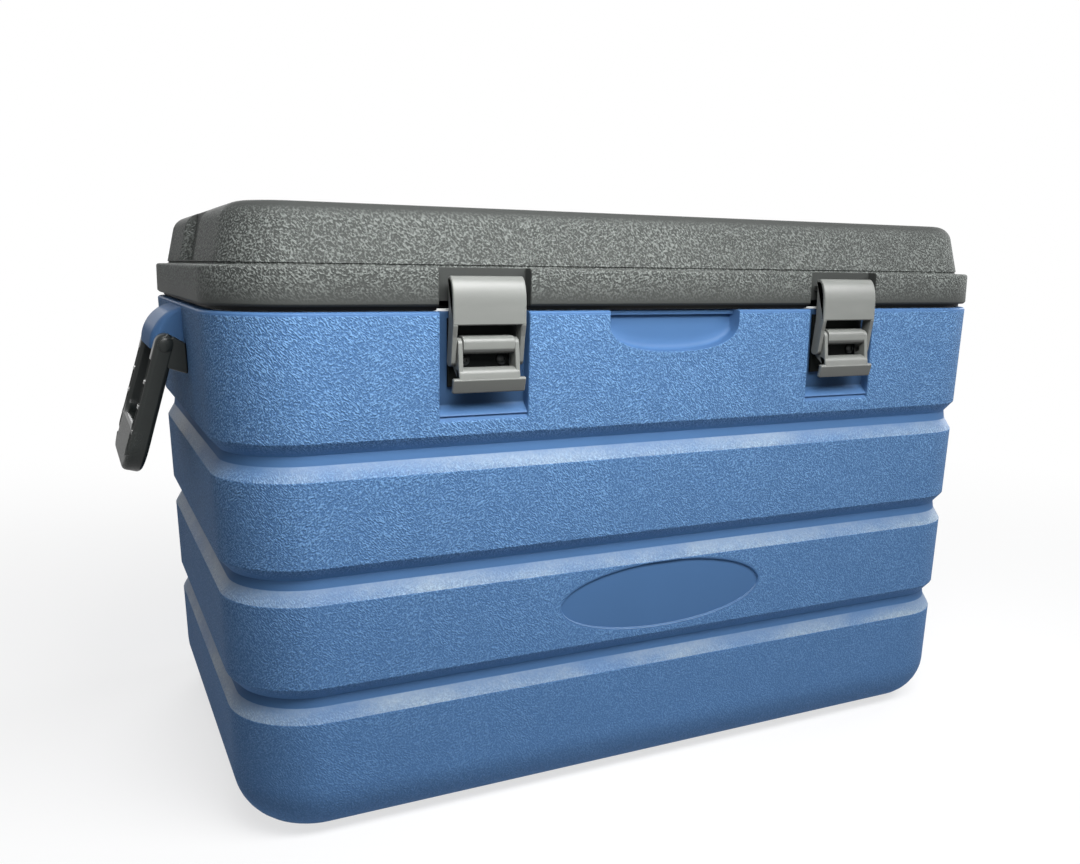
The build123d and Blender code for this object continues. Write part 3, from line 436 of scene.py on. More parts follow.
class Shader:
    """The nodes of one material or world under construction."""

    def __init__(self, owner):
        owner.use_nodes = True
        self.owner, self.tree = owner, owner.node_tree
        self.tree.nodes.clear()

    def node(self, kind, inputs, output=0, **settings):
        """Adds a node, sets it up, feeds its sockets, and gives one of its outputs."""
        node = self.tree.nodes.new(kind)
        for name, value in settings.items():
            setattr(node, name, value)
        for name, value in inputs.items():
            if isinstance(value, Flow):
                self.tree.links.new(value.socket, node.inputs[name])
            else:
                node.inputs[name].default_value = value
        return Flow(self, node.outputs[output]) if node.outputs else None

    def maths(self, operation, first, second, clamp=False):
        """One Math node."""
        return self.node("ShaderNodeMath", {0: first, 1: second}, operation=operation, use_clamp=clamp)

    def place(self, scale=None, turn=(0, 0, 0)):
        """Object coordinates, for a pattern that is drawn out along turned axes if a scale is given."""
        where = self.node("ShaderNodeTexCoord", {}, "Object")
        if scale is None:
            return where
        return self.node("ShaderNodeMapping", {"Vector": where, "Scale": scale, "Rotation": turn},
                         vector_type="TEXTURE")

    def rise(self, space="Object"):
        """The third part of a position or of a normal."""
        return self.node("ShaderNodeSeparateXYZ", {0: self.node("ShaderNodeTexCoord", {}, space)}, "Z")

    def mask(self):
        """The piece's grain attribute."""
        return self.node("ShaderNodeAttribute", {}, "Fac", attribute_name="grain")

    def noise(self, scale, detail=2.0, where=None):
        """Cloudy noise, about a half on average."""
        return self.node("ShaderNodeTexNoise", {"Vector": where or self.place(), "Scale": scale,
                                                "Detail": detail, "Roughness": 0.5})

    def cells(self, scale):
        """Distance from the middle of the nearest cell."""
        return self.node("ShaderNodeTexVoronoi", {"Vector": self.place(), "Scale": scale}, "Distance")

    def ramp(self, value, *stops):
        """A value passed through a curve of straight pieces, given as (value, level) pairs."""
        curve = self.node("ShaderNodeValToRGB", {0: value})
        elements = curve.socket.node.color_ramp.elements
        elements.remove(elements[1])
        for order, (place, level) in enumerate(stops):
            element = elements.new(place) if order else elements[0]
            element.position, element.color = place, (level, level, level, 1.0)
        return curve

    def blend(self, share, first, second):
        """Mix of two colours."""
        first, second = (c if isinstance(c, Flow) else (*c, 1.0) for c in (first, second))
        return self.node("ShaderNodeMix", {0: share, 6: first, 7: second}, 2, data_type="RGBA")

    def tinted(self, share, tint, dark, pale):
        """Mix of a colour's darker and paler shades."""
        return self.blend(share, shade(tint, dark), shade(tint, pale))

    def finish(self, tint, rough, bumps, distance, strength, **sockets):
        """Adds the surface shader, tilted by a height map, and the output."""
        normal = self.node("ShaderNodeBump", {"Height": bumps, "Distance": distance, "Strength": strength})
        inputs = {name.replace("_", " "): value for name, value in sockets.items()}
        surface = self.node("ShaderNodeBsdfPrincipled",
                            {"Base Color": tint, "Roughness": rough, "Normal": normal, **inputs})
        self.node("ShaderNodeOutputMaterial", {"Surface": surface})


BLACK = (0.0, 0.0, 0.0)


def shade(tint, factor):
    """A colour made darker or paler by a factor."""
    return tuple(min(1.0, channel * factor) for channel in tint)


def wrinkles(s, size, stretch, low, high):
    """Leathery skin from 0 to 1: the higher of two clouds drawn out along opposite slants.

    Each cloud is held back in patches of its own, so that the slant changes from place to place.
    """
    first, second = (s.noise(size, 0.4, s.place((stretch, stretch, 1.0), (0.4 * slant, 0.75 * slant, 0.0)))
                     for slant in (1, -1))
    patch = s.ramp(s.noise(26.0, 1.0), (0.38, 0.0), (0.62, 1.0))
    higher = s.maths("MAXIMUM", first - 0.16 * patch, second - 0.16 * (1.0 - patch))
    return s.ramp(higher, (low, 0.0), (0.6 * low + 0.4 * high, 0.35), (high, 1.0))


def case_plastic(s, blue):
    """Blue plastic: a leathery skin of about 1.5 mm where the grain mask is above zero, its tops painted
    paler as glints and its creases painted darker as shade, both fading towards the bottom.

    Smooth parts are a little darker, a painted shade, and a mask below zero is darker still, a painted shade
    on the pockets' floors. The ledges over the grooves carry a patchy pale painted sheen that is brightest
    at their lips; the faces under each band are painted paler, as light.
    """
    mask, skin = s.mask(), wrinkles(s, 1150.0, 1.85, 0.385, 0.705)
    cloud, facing = s.noise(22.0, 3.0), s.rise("Normal")
    grained, painted_shade = s.maths("MAXIMUM", mask, 0.0), s.maths("MAXIMUM", -1.0 * mask, 0.0)
    ledge = s.ramp(facing, (0.3, 0.0), (0.5, 1.0), (0.8, 1.0), (0.92, 0.0))
    low = s.ramp(s.rise(), (0.255, 1.0), (0.259, 0.0))
    # Grain strength, fading towards the bottom: it scales the grain's bumps and its painted glints and shade
    fading_grain = grained * s.ramp(s.rise(), (0.03, 0.32), (0.26, 0.8))
    # Smooth parts blend about a quarter of the way to black: painted shade, chiefly in the groove strips and
    # hollows
    level = s.blend(0.24 - 0.24 * grained, s.tinted(cloud, blue, 0.94, 1.06), BLACK)
    # Faces that look down, below the pockets, are lifted towards a paler blue: painted light
    level = s.blend(s.ramp(-1.0 * facing, (0.25, 0.0), (0.55, 0.32)) * low, level, shade(blue, 2.2))
    # Patchy pale colour on the ledges that face up, strongest where the grain reaches their lips: a painted
    # sheen and highlight
    patchy = s.ramp(s.noise(38.0, 3.0, s.place((2.5, 2.5, 1.0))), (0.34, 0.25), (0.66, 1.3))
    ledge_sheen = ledge * low * patchy * (1.0 + 1.2 * grained) * (0.13 + 0.28 * s.noise(420.0, 3.0))
    # The mask below zero darkens the pockets' floors: painted shade
    sheened = s.blend(ledge_sheen, s.blend(painted_shade, level, shade(blue, 0.45)), (0.38, 0.44, 0.46))
    # Creases darkened and tops paled with the skin: painted shade and painted glints
    shaded_dents = s.blend(fading_grain * (0.9 - 0.9 * skin), sheened, shade(blue, 0.6))
    glinting_tops = s.blend(fading_grain * skin * 0.34, shaded_dents, (blue[0] * 4.6, blue[1] * 3.4, blue[2] * 2.4))
    fine = s.noise(1900.0)
    s.finish(glinting_tops, 0.76 - 0.3 * ledge + 0.08 * (cloud - 0.5), fading_grain * (skin + 0.15 * fine) + 0.05 * fine,
             0.00055, 1.0, Specular_IOR_Level=0.22)


def lid_plastic(s, grey):
    """Dark plastic with the same skin, coarser and stronger, its tops painted pale as glints and its creases
    painted darker as shade, and black where the mask is below zero, a painted shade in the seam.
    """
    mask, skin = s.mask(), wrinkles(s, 860.0, 1.4, 0.4, 0.66)
    cloud, fine = s.noise(16.0, 3.0), s.noise(1500.0)
    strong = s.maths("MAXIMUM", mask, 0.0) * s.ramp(s.rise(), (0.35, 1.0), (0.358, 0.7))
    painted_shade = s.maths("MAXIMUM", -1.0 * mask, 0.0)
    # A mask below zero turns the colour near black: painted shade in the seam
    level = s.blend(painted_shade, s.tinted(cloud, grey, 0.88, 1.12), shade(grey, 0.1))
    # Creases darkened and tops paled with the skin: painted shade and painted glints
    shaded_creases = s.blend(strong * (0.9 - 0.9 * skin), level, shade(grey, 0.45))
    glinting_tops = s.blend(strong * (0.1 + 0.55 * skin), shaded_creases, shade(grey, 9.2))
    s.finish(glinting_tops, 0.74 + 0.08 * (cloud - 0.5), strong * (skin + 0.2 * fine) + 0.05 * fine,
             0.0007, 1.0, Specular_IOR_Level=0.3)


def latch_plastic(s, grey):
    """Satin plastic: a faint flow pattern along X, a very fine skin and undersides painted darker as shade.
    """
    fine = s.noise(1600.0)
    level = s.tinted(s.noise(160.0, 3.0, s.place((4.0, 1.0, 1.0))), grey, 0.9, 1.1)
    # Faces that look down are darkened towards black: painted shade
    level = s.blend(s.ramp(0.5 + s.rise("Normal"), (0.2, 0.65), (0.42, 0.0)), level, BLACK)
    s.finish(level, 0.3 + 0.12 * fine, fine, 0.00006, 0.6)


def shade_plate_plastic(s, black):
    """Dull near-black plastic of the plates behind the latches, with a faint cloudiness: their dark colour
    is a painted shade in the latches' windows.
    """
    fine = s.noise(1600.0)
    s.finish(s.tinted(s.noise(160.0, 3.0), black, 0.6, 1.2), 0.5 + 0.12 * fine, fine, 0.00006, 0.6,
             Specular_IOR_Level=0.06)


def handle_plastic(s, black):
    """Near-black satin plastic, pebbled on the face of the grip."""
    mask, fine = s.mask(), s.noise(1700.0)
    dots = mask * s.ramp(s.cells(900.0), (0.05, 1.0), (0.5, 0.0))
    level = s.tinted(s.noise(45.0, 3.0), black, 0.8, 1.25)
    s.finish(s.blend(dots * 0.4, level, shade(black, 2.4)), 0.3 + 0.16 * mask + 0.06 * fine,
             dots + 0.12 * fine, 0.00025, 0.8, Specular_IOR_Level=0.3)


def plain_plastic(s, tint, rough):
    """Smooth moulded plastic with a faint cloudiness and the finest skin."""
    fine = s.noise(1400.0)
    s.finish(s.tinted(s.noise(24.0, 3.0), tint, 0.95, 1.04), rough + 0.08 * fine, fine, 0.00005, 0.5)


def foam_filling(s, tint):
    """Rigid foam: closed cells of half a millimetre with darker walls."""
    cell = s.cells(2000.0)
    s.finish(s.tinted(cell, tint, 1.05, 0.75), 0.85, cell, 0.0003, 0.7)


def seal_rubber(s, tint):
    """Matt seal with a dusty bloom."""
    cloud = s.noise(120.0, 4.0)
    s.finish(s.tinted(cloud, tint, 1.0, 2.0), 0.55 + 0.2 * cloud, cloud, 0.0001, 0.5)


def turned_steel(s, tint, rough):
    """Turned steel: fine rings across X and a slight tarnish."""
    rings, stain = s.noise(2600.0, 2.0, s.place((1.0, 16.0, 16.0))), s.noise(260.0, 3.0)
    s.finish(s.tinted(stain, tint, 0.8, 1.1), rough + 0.15 * stain, rings, 0.00003, 0.4, Metallic=1.0)


# Each material's maker, its colour, what the colour is multiplied by, and the maker's own value
LOOKS = {
    "case plastic": (case_plastic, "case_blue", 1.0),
    "lid plastic": (lid_plastic, "lid_grey", 1.0),
    "latch plastic": (latch_plastic, "latch_grey", 1.0),
    "plate plastic": (shade_plate_plastic, "handle_black", 0.4),
    "handle plastic": (handle_plastic, "handle_black", 1.0),
    "hinge plastic": (plain_plastic, "hinge_grey", 1.0, 0.4),
    "liner plastic": (plain_plastic, "liner_white", 1.0, 0.28),
    "foam filling": (foam_filling, "foam", 1.0),
    "seal rubber": (seal_rubber, "gasket", 1.0),
    "pin steel": (turned_steel, "steel", 1.0, 0.25),
    "screw steel": (turned_steel, "steel", 0.35, 0.35),
}


def material(name):
    """The named material, made the first time that it is asked for."""
    if name not in bpy.data.materials:
        maker, tint, factor, *extra = LOOKS[name]
        finishes = bpy.context.scene.carry_box.finish
        maker(Shader(bpy.data.materials.new(name)), shade(getattr(finishes, tint), factor), *extra)
    return bpy.data.materials[name]


def recoat(look, *nodes):
    """Gives modelled nodes that stay in view a material."""
    for node in nodes:
        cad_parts[node].material_slots[0].material = material(look)


# ---------------------------------------------------------------------- places
def latch_middles(box):
    """X of the two latches' middles."""
    return [box.latch.shift + side * box.latch.place for _, side in SIDES]


def beside_latch(box, x):
    """Distance along X from the nearer latch's middle."""
    return np.abs(np.abs(x - box.latch.shift) - box.latch.place)


def front_place(box):
    """Turns (outward of the front, above the rim, along X) into a point."""
    return lambda out, rise, along: np.stack([along, -box.case.depth / 2 - out, box.case.rim + rise], -1)


def end_place(box, side):
    """Turns (outward of one end, above the rim, along Y) into a point."""
    half, rim = box.case.width / 2, box.case.rim
    return lambda out, rise, along: np.stack([side * (half + out), along, rim + rise], -1)


def rings_at(x, y, height):
    """Rings of points, each ring at a height of its own."""
    return np.stack([x, y, np.broadcast_to(height[:, None], x.shape)], -1)


def spread(*groups):
    """One rising list of places from several, without places closer than a twentieth of a millimetre."""
    values = np.unique(np.concatenate([np.ravel(group) for group in groups]))
    return values[np.append(True, np.diff(values) > 0.00005)]


# ------------------------------------------------------------------------ case
SHELL_IN = 0.013            # outer face to the case wall's inner face
RIM_ROUND = 0.002           # round at the top of the wall
WINDOW = 0.0965             # middle of the front to the edge of the grid that holds the oval
OVAL_BAND = 0.105, 0.1552   # heights of that grid's foot and top
SCOOP_LEDGE = 0.0033        # rim down to the foot of the scoop's top ledge
SCOOP_STEP = 0.0045         # depth at which the scoop's wall meets its bowl
SCOOP_POWER = 2.4           # how square its outline is: 2 is an ellipse
POCKET_STEPS = np.array([   # rise above the rim and depth, down the pocket's foot
    [-0.069, 0.0], [-0.0672, 0.0], [-0.0662, 0.0006], [-0.0652, 0.0019], [-0.0645, 0.0021],
    [-0.0641, 0.0013], [-0.0636, 0.0009], [-0.063, 0.0012], [-0.058, 0.0062], [-0.0568, 0.007],
    [0.01, 0.007]])
# Rows for the pockets above their feet, and for the scoop below and above its sides' foot
POCKET_ROWS = -np.array([0.06, 0.0615, 0.048, 0.041])
BOWL_ROWS = np.array([.1, .2, .4, .7, 1., 1.5, 2.2, 3.2, 5., 8., 14., 20.]) / 1000
SIDE_ROWS = np.array([0, .02, .05, .1, .2, .35, .6, .9, 1.3, 1.7, 2.2, 2.7, 3.2, 3.7, 4.2]) / 1000
LEDGE_ROWS = np.array([-0.0001, 0.0002, 0.0006])
PLAIN_ROWS = 0.058, 0.069, 0.19, 0.208


def case_rows(case):
    """Heights, insets and grain up the outside, over the rim and down the inside of the case.

    The grain fades in to the groove: over the lip of the ledge below it, and all up the face above it.
    """
    base = case.base_round * np.stack(quarter(11), -1)
    corners, radii = [(0.0, case.base_round + 0.004)], [0.0]
    for root in case.groove_low + np.arange(3) * case.groove_pitch:
        corners += [(0.0, root - 0.015), (case.groove_depth - 0.001, root - 0.006),
                    (case.groove_depth, root), (0.0, root + 0.0079)]
        radii += [0.0016, 0.0012, 0.0003, 0.0012]
    corners += [(0.0, case.rim), (SHELL_IN, case.rim)]
    line = np.concatenate([base, soften(corners, radii + [RIM_ROUND, 0.0], 4, closed=False)])
    rim_start = np.argmax(line[:, 1] > case.rim - RIM_ROUND - 0.00005)
    extra = np.concatenate([case.rim + POCKET_STEPS[:-1, 0], case.rim + POCKET_ROWS,
                            case.rim + (-case.finger_side - BOWL_ROWS),
                            case.rim + (-case.finger_side + SIDE_ROWS),
                            case.rim + (-SCOOP_LEDGE + LEDGE_ROWS), np.linspace(*OVAL_BAND, 11), PLAIN_ROWS])
    face = np.concatenate([line[:rim_start], np.stack([0.0 * extra, extra], -1)])
    face = face[np.argsort(face[:, 1], kind="stable")]
    inside = [(SHELL_IN, case.rim - 0.004), (SHELL_IN, 0.045), (0.02, 0.026), (0.045, 0.012)]
    inset, height = np.concatenate([face, line[rim_start:], inside]).T
    above, slope = height > case.base_round, np.append(np.diff(inset), 0.0)
    flush = ((inset < 0.00008) | ~above) & (np.arange(len(height)) < len(face))
    under = (slope < 0) & above & (inset < SHELL_IN - 0.001)
    # Over the ledge's lip the grain rises, which also brightens the painted sheen there
    over = (slope > 0) & above & (inset < 0.0012) & (height < case.rim - 0.01)
    grain = np.where(under, held(1 - inset / (0.9 * case.groove_depth)), flush.astype(float))
    return height, inset, np.where(over, held(1 - inset / 0.001), grain)


def scoop_foot(case, x):
    """Height of the scoop's outline: its sides' foot, less (1 - |x / half| ** p) ** (1 / p) bowls."""
    ratio = held(np.abs(x) / (case.finger_width / 2))
    bowl = case.finger_height - case.finger_side
    return -case.finger_side - bowl * (1 - ratio ** SCOOP_POWER) ** (1 / SCOOP_POWER)


def scoop(case, x, rise):
    """Depth of the finger pull.

    Its outline has straight sides over half a rounded oval. Inside it the floor leaves the
    bottom and both sides as a quarter ellipse, and steps out at a ledge below the rim.
    """
    half, bowl, p = case.finger_width / 2, case.finger_height - case.finger_side, SCOOP_POWER
    below = np.clip(-case.finger_side - rise, 0.0, None)
    aside, down = np.abs(x) / half, below / bowl
    ratio = (aside ** p + down ** p) ** (1 / p)
    slope = np.hypot(aside ** (p - 1) / half, down ** (p - 1) / bowl) / np.maximum(ratio, 1e-6) ** (p - 1)
    inside = np.where(below > 0, (1 - ratio) / np.maximum(slope, 1e-6), half - np.abs(x))
    climb = held(1 - (rise - scoop_foot(case, x)) / 0.009)
    side = held((np.abs(x) - half + 0.0016) / 0.0012)
    away = held(np.sqrt(climb ** 2 + side ** 2))
    deep = SCOOP_STEP + (case.finger_depth - SCOOP_STEP) * np.sqrt(1 - away ** 2)
    deep = np.where(rise > -SCOOP_LEDGE, np.minimum(deep, 0.007), deep)
    return sunk(inside, np.maximum(deep, SCOOP_STEP), 0.0007, 0.0004, 0.0006)


def latch_pockets(box, x, rise):
    """Depth of the two latch pockets: the lesser of their side walls' depth and their foot's."""
    inside = box.latch.width / 2 + box.latch.pocket_side - beside_latch(box, x)
    foot = np.interp(rise, POCKET_STEPS[:, 0], POCKET_STEPS[:, 1])
    return np.minimum(sunk(inside, box.latch.pocket_depth), foot)


def oval_patch(surface, case, index, rows, columns):
    """Bare oval, as rings from the window's edge in to the oval's middle.

    Outside the oval each ring is a share of the way from the window to the outline; the
    outline's own rings are ellipses grown or shrunk by a distance; inside they shrink to
    the middle. A ring's depth is a quarter circle over the edge and another at the foot.
    """
    (low, high), (left, right) = rows, columns
    loop = np.concatenate([index[low, left:right], index[low:high, right],
                           index[high, right:left:-1], index[high:low:-1, left]])
    edge = np.concatenate(surface.points)[loop][:, [0, 2]]
    a, b = case.oval_width / 2, case.oval_height / 2
    middle = np.array([0.0, case.oval_centre])
    turn = np.arctan2((edge[:, 1] - case.oval_centre) / b, edge[:, 0] / a)

    def ellipse(grow):
        return np.stack([(a + grow) * np.cos(turn), case.oval_centre + (b + grow) * np.sin(turn)], -1)

    lip, foot = 0.0005, 0.0004
    short, gone = quarter(4)
    rings = ([edge + (ellipse(lip) - edge) * share for share in (0.25, 0.5, 0.75, 0.9)]
             + [ellipse(lip * share) for share in short]
             + [ellipse(-0.0002 - foot * share) for share in gone]
             + [middle + (ellipse(0.0) - middle) * share for share in (0.9, 0.75, 0.5, 0.2)])
    depths = np.concatenate([np.zeros(4), lip * gone, case.oval_depth - foot * short,
                             np.full(4, case.oval_depth)])
    x, z = np.moveaxis(np.stack(rings), -1, 0)
    ratio = np.hypot(x / (a + 0.0008), (z - case.oval_centre) / (b + 0.0008))
    face = -case.depth / 2 + case.front_draft * (case.rim - z)
    inner = surface.add_points(np.stack([x, face + depths[:, None], z], -1), held((ratio - 1.0) * 60))
    surface.add_quads(np.concatenate([loop[None], inner], 0))
    surface.caps.append(inner[-1])


def case_surface(box):
    """Case: the wall's profile carried round the plan, pressed in at the pockets, the scoop and the oval.

    The rows near the scoop bend to follow its outline. The grain is gone where the wall is pressed in, and
    is -1 on the pockets' floors, where it paints shade.
    """
    case, latch = box.case, box.latch
    half = case.finger_width / 2
    near = half + np.array([0.0001, 0.0004, 0.0009, 0.0022])
    edges = [edge_columns(middle, latch.width / 2 + latch.pocket_side) for middle in latch_middles(box)]
    front = spread(*edges, half * np.sin(np.linspace(-np.pi / 2, np.pi / 2, 41)), near, -near,
                   [-WINDOW, WINDOW, -0.2, 0.2])
    plan = Plan(densify(front, 0.0055), densify([-0.1, 0.1], 0.012), densify([-0.2, 0.2], 0.02), 12)
    height, inset, grain = case_rows(case)
    fall = case.rim - height
    x, y = plan.rings(case.width / 2 - inset - case.side_draft * fall,
                      case.depth / 2 - inset - case.front_draft * fall,
                      np.maximum(case.corner - inset, 0.01))
    rise = np.broadcast_to(-fall[:, None], x.shape)
    side, foot = -case.finger_side, scoop_foot(case, x)
    low, high = -0.036, -SCOOP_LEDGE - 0.0001
    fixed = np.where(rise < side, low, high)
    warped = fixed + (rise - fixed) * (foot - fixed) / (side - fixed)
    outer = (inset[:, None] < SHELL_IN) & plan.front[None]
    rise = np.where(outer & (rise > low) & (rise < high) & (np.abs(x) < half), warped, rise)
    pockets = latch_pockets(box, x, rise)
    shift = np.maximum(scoop(case, x, rise), pockets) * plan.front
    y = y + np.where(outer, shift * (1 - inset[:, None] / SHELL_IN), 0.0)
    smooth = held(1 - shift / 0.0004)
    # Pockets' floors get a mask below zero, which paints shade on them
    shaded_floors = held((pockets - 0.006) / 0.0009) * (outer & (rise < 0))
    surface = Surface()
    index = surface.add_points(np.stack([x, y, rise + case.rim], -1), grain[:, None] * smooth - shaded_floors)
    rows = (np.argmax(height > OVAL_BAND[0] - 0.0001),
            np.max(np.nonzero(height[:np.argmax(height)] < OVAL_BAND[1] + 0.0001)))
    astray = np.where(plan.front & (plan.share == 0), 0.0, 9.0)
    columns = [np.argmin(np.abs(plan.fixed - place) + astray) for place in (-WINDOW, WINDOW)]
    keep = np.ones((len(index) - 1, index.shape[1]), bool)
    keep[slice(*rows), slice(*columns)] = False
    surface.add_quads(index, keep=keep)
    surface.caps += [index[0][::-1], index[-1]]
    oval_patch(surface, case, index, rows, columns)
    return surface


HOOD_ROOT = -0.01           # outer face to the hood's inner end


def hood_surface(box, side):
    """Hood: level sections from its foot up, each a box that reaches as far as the slope does there.

    The reach follows a straight lip, a bend and a slope of 30 degrees; the section's outer
    corners are rounded.
    """
    reach, top, foot = box.handle.hood_reach, -0.001, -0.03
    knee = top - reach * math.tan(math.radians(30.0))
    out, rise = soften([(-0.004, foot), (reach, foot), (reach, knee), (-0.004, top + 0.0023)],
                       [0, 0.0009, 0.0278, 0], 14, closed=False).T
    half = (out - HOOD_ROOT) / 2
    across, along = [-0.02, 0.0, 0.02], [-0.0005, 0.0, 0.0005]
    y, depth = Plan(across, along, across, 8).rings(0.0 * out + box.handle.hood_half, half,
                                                    np.clip(half - 0.0012, 0.0006, 0.006))
    x = side * (box.case.width / 2 + (out[:, None] + HOOD_ROOT) / 2 - depth)
    return outward(rings_at(x, y, box.case.rim + np.minimum(rise, top)))


class CARRYBOX_OT_case(bpy.types.Operator):
    """Builds the case with its grooves, pockets, finger pull, oval and hoods"""
    bl_idname = "carrybox.case"
    bl_label = "Case"

    def execute(self, context):
        box = context.scene.carry_box
        surface = case_surface(box)
        for _, side in SIDES:
            surface.add_grid(hood_surface(box, side))
        put(surface, "case_shell", "case plastic", "case", "outer_shell")
        return {"FINISHED"}


# ------------------------------------------------------------- liners and seal
FLANGE = 0.03               # insets below this are on the flanges, above it on the tub or the plug


def tub_plan(box):
    """Columns for the smooth pieces inside the box."""
    edges = [edge_columns(middle, 0.033) for middle in latch_middles(box)]
    front = spread([-0.2, 0.2], edge_columns(0.0, box.case.finger_width / 2), *edges)
    return Plan(densify(front, 0.02), densify([-0.08, 0.08], 0.03), densify([-0.2, 0.2], 0.04), 10)


def tub_rings(box, inset, draft=0.0):
    """X and Y of a smooth piece's rings, and which of their columns are on the front."""
    case, plan = box.case, tub_plan(box)
    radius = np.where(inset < FLANGE, case.corner - inset, np.maximum(0.074 - inset, 0.012))
    return (*plan.rings(case.width / 2 - inset - draft, case.depth / 2 - inset - draft, radius), plan.front)


class CARRYBOX_OT_liner(bpy.types.Operator):
    """Builds the white tub with its flange"""
    bl_idname = "carrybox.liner"
    bl_label = "Liner"

    def execute(self, context):
        box = context.scene.carry_box
        rim, top = box.case.rim, box.case.rim + 0.0015
        outside = soften([(0.06, 0.0376), (0.0315, 0.0376), (0.0315, rim - 0.0002), (0.008, rim)],
                         [0, 0.0224, 0.0002, 0], 6, closed=False)
        inside = soften([(0.008, rim), (0.008, top), (0.034, top), (0.034, 0.04), (0.062, 0.04)],
                        [0, 0.0005, 0.0018, 0.02, 0], 6, closed=False)
        inset, height = np.concatenate([outside[:-1], inside]).T
        x, y, front = tub_rings(box, inset, 0.03 * np.where(inset > FLANGE, rim - height, 0.0))
        notched = (height > rim - 0.001) & (inset < 0.0107)
        notch = sunk(box.case.finger_width / 2 + 0.0004 - np.abs(x), 0.0026)
        surface = Surface()
        surface.add_grid(rings_at(x, y + np.where(notched[:, None] & front, notch, 0.0), height))
        put(surface, "tub", "liner plastic", "case", "inner_liner")
        return {"FINISHED"}


class CARRYBOX_OT_lid_liner(bpy.types.Operator):
    """Builds the white plate under the lid, its plug and the soft seal round it"""
    bl_idname = "carrybox.lid_liner"
    bl_label = "Lid liner and seal"

    def execute(self, context):
        box = context.scene.carry_box
        low, plate = box.case.rim - 0.01, box.case.rim + 0.005
        inset, height = soften([(0.05, plate + 0.0024), (0.0033, plate + 0.0024), (0.0033, plate),
                                (0.0375, plate), (0.0375, low), (0.08, low)],
                               [0, 0.0003, 0.0003, 0.002, 0.004, 0], 5, closed=False).T
        x, y, front = tub_rings(box, inset)
        cut = sunk(0.0331 - beside_latch(box, x), 0.008)
        surface, seal = Surface(), Surface()
        y = y + np.where(front & (inset[:, None] < 0.0112), cut, 0.0)
        surface.add_grid(outward(rings_at(x, y, height)))
        put(surface, "lid_plate", "liner plastic", "lid", "lid_liner")
        inset, height = soften([(0.014, plate - 0.0035), (0.022, plate - 0.0035), (0.022, plate),
                                (0.014, plate)], [0.0012, 0.0012, 0.0003, 0.0003], 4).T
        x, y, _ = tub_rings(box, inset)
        seal.add_grid(outward(rings_at(x, y, height)), looped=True)
        put(seal, "lid_seal", "seal rubber", "lid", "lid_gasket")
        return {"FINISHED"}


# ------------------------------------------------------------------------- lid
CROWN_FOOT = 0.0025         # top of the skirt to the foot of the dips
DIP_LEAN = math.tan(math.radians(11.0))
FRONT_LEAN = math.radians(1.0)      # what the crown's front and rear faces lean over its end faces
CREVICE = np.array([[0.0002, 0.0006, 0.0014, 0.0019], [0.0, 0.001, 0.001, 0.0]])    # rises and depths
KEEPER = soften([(-0.0092, 0.0125), (-0.0031, 0.0125), (-0.0031, 0.0165), (-0.0092, 0.0165)],
                [0.0002, 0.0006, 0.0006, 0.0002])


def crown_inset(lid, height, start, lean):
    """Inset of the crown's face at a height: a leaning line, then a circle that it touches."""
    centre = start + lid.crown - lid.crown_round
    bend = centre + lid.crown_round * math.sin(lean)
    middle = lid.ledge + math.tan(lean) * (bend - start) + lid.crown_round * math.cos(lean)
    round_in = middle - np.sqrt(np.clip(lid.crown_round ** 2 - (height - centre) ** 2, 0, None))
    return np.where(height < bend, lid.ledge + math.tan(lean) * (height - start), round_in)


def lid_rows(box):
    """Heights, side and front insets, radii and grain from under the skirt up to the lid's flat top.

    The crown's faces are flats that lean in and end in a quarter round. A crevice runs round their foot. The
    grain is -1 under the skirt, a painted shade in the seam, and fades out over the crown's round, a painted
    shade on its top.
    """
    case, lid = box.case, box.lid
    low, lip = case.rim + lid.seam, case.rim + 0.0006
    top, lean = low + lid.skirt, lid.crown_lean
    corners = [(0.03, low + 0.0032), (0.007, low + 0.0032), (0.007, lip), (0.005, lip), (0.005, low),
               (lid.bevel, low), (0.0, low + lid.bevel), (0.0, top), (lid.ledge, top)]
    radii = [0, 0.0003, 0.0005, 0.0005, 0.0003, 0.0006, 0.0008, 0.002, 0]
    inset, height = soften(corners, radii, 4, closed=False)[:-1].T
    foot = top + CROWN_FOOT
    bend = top + lid.crown - lid.crown_round * (1 - math.sin(lean))
    arc = top + lid.crown - lid.crown_round * (1 - np.sin(np.linspace(lean, np.pi / 2, 13)))
    crown = spread(top + CREVICE[0], foot + np.array([-0.0001, 0.0, 0.0002, 0.0012]),
                   np.linspace(foot + 0.003, bend, 12), arc)
    crevice = np.interp(crown - top, *CREVICE)
    side = crown_inset(lid, crown, top, lean) + crevice
    front = crown_inset(lid, crown, top, lean + FRONT_LEAN) + crevice
    rows = np.concatenate([np.stack([height, inset, inset, case.corner - inset]),
                           np.stack([crown, side, front, case.corner - side])], 1)
    inner = rows[:, -1:] + np.array([[0.0, 0.0], [0.006, 0.02], [0.006, 0.02], [0.0, 0.0]])
    height, side, front, corner = np.concatenate([rows, inner], 1)
    grain = np.where(height > low + lid.bevel + 0.0006, 1.0, 0.0)
    # Under the skirt the grain is -1, which paints the seam near black: painted shade
    grain[height < low + 0.0002] = -1.0
    # The grain fades to nothing over the crown's round, leaving its top darker: painted shade
    grain[-14:-2] = held(np.linspace(0.9, -1.0, 12))
    return height, side, front, corner, grain, len(inset)


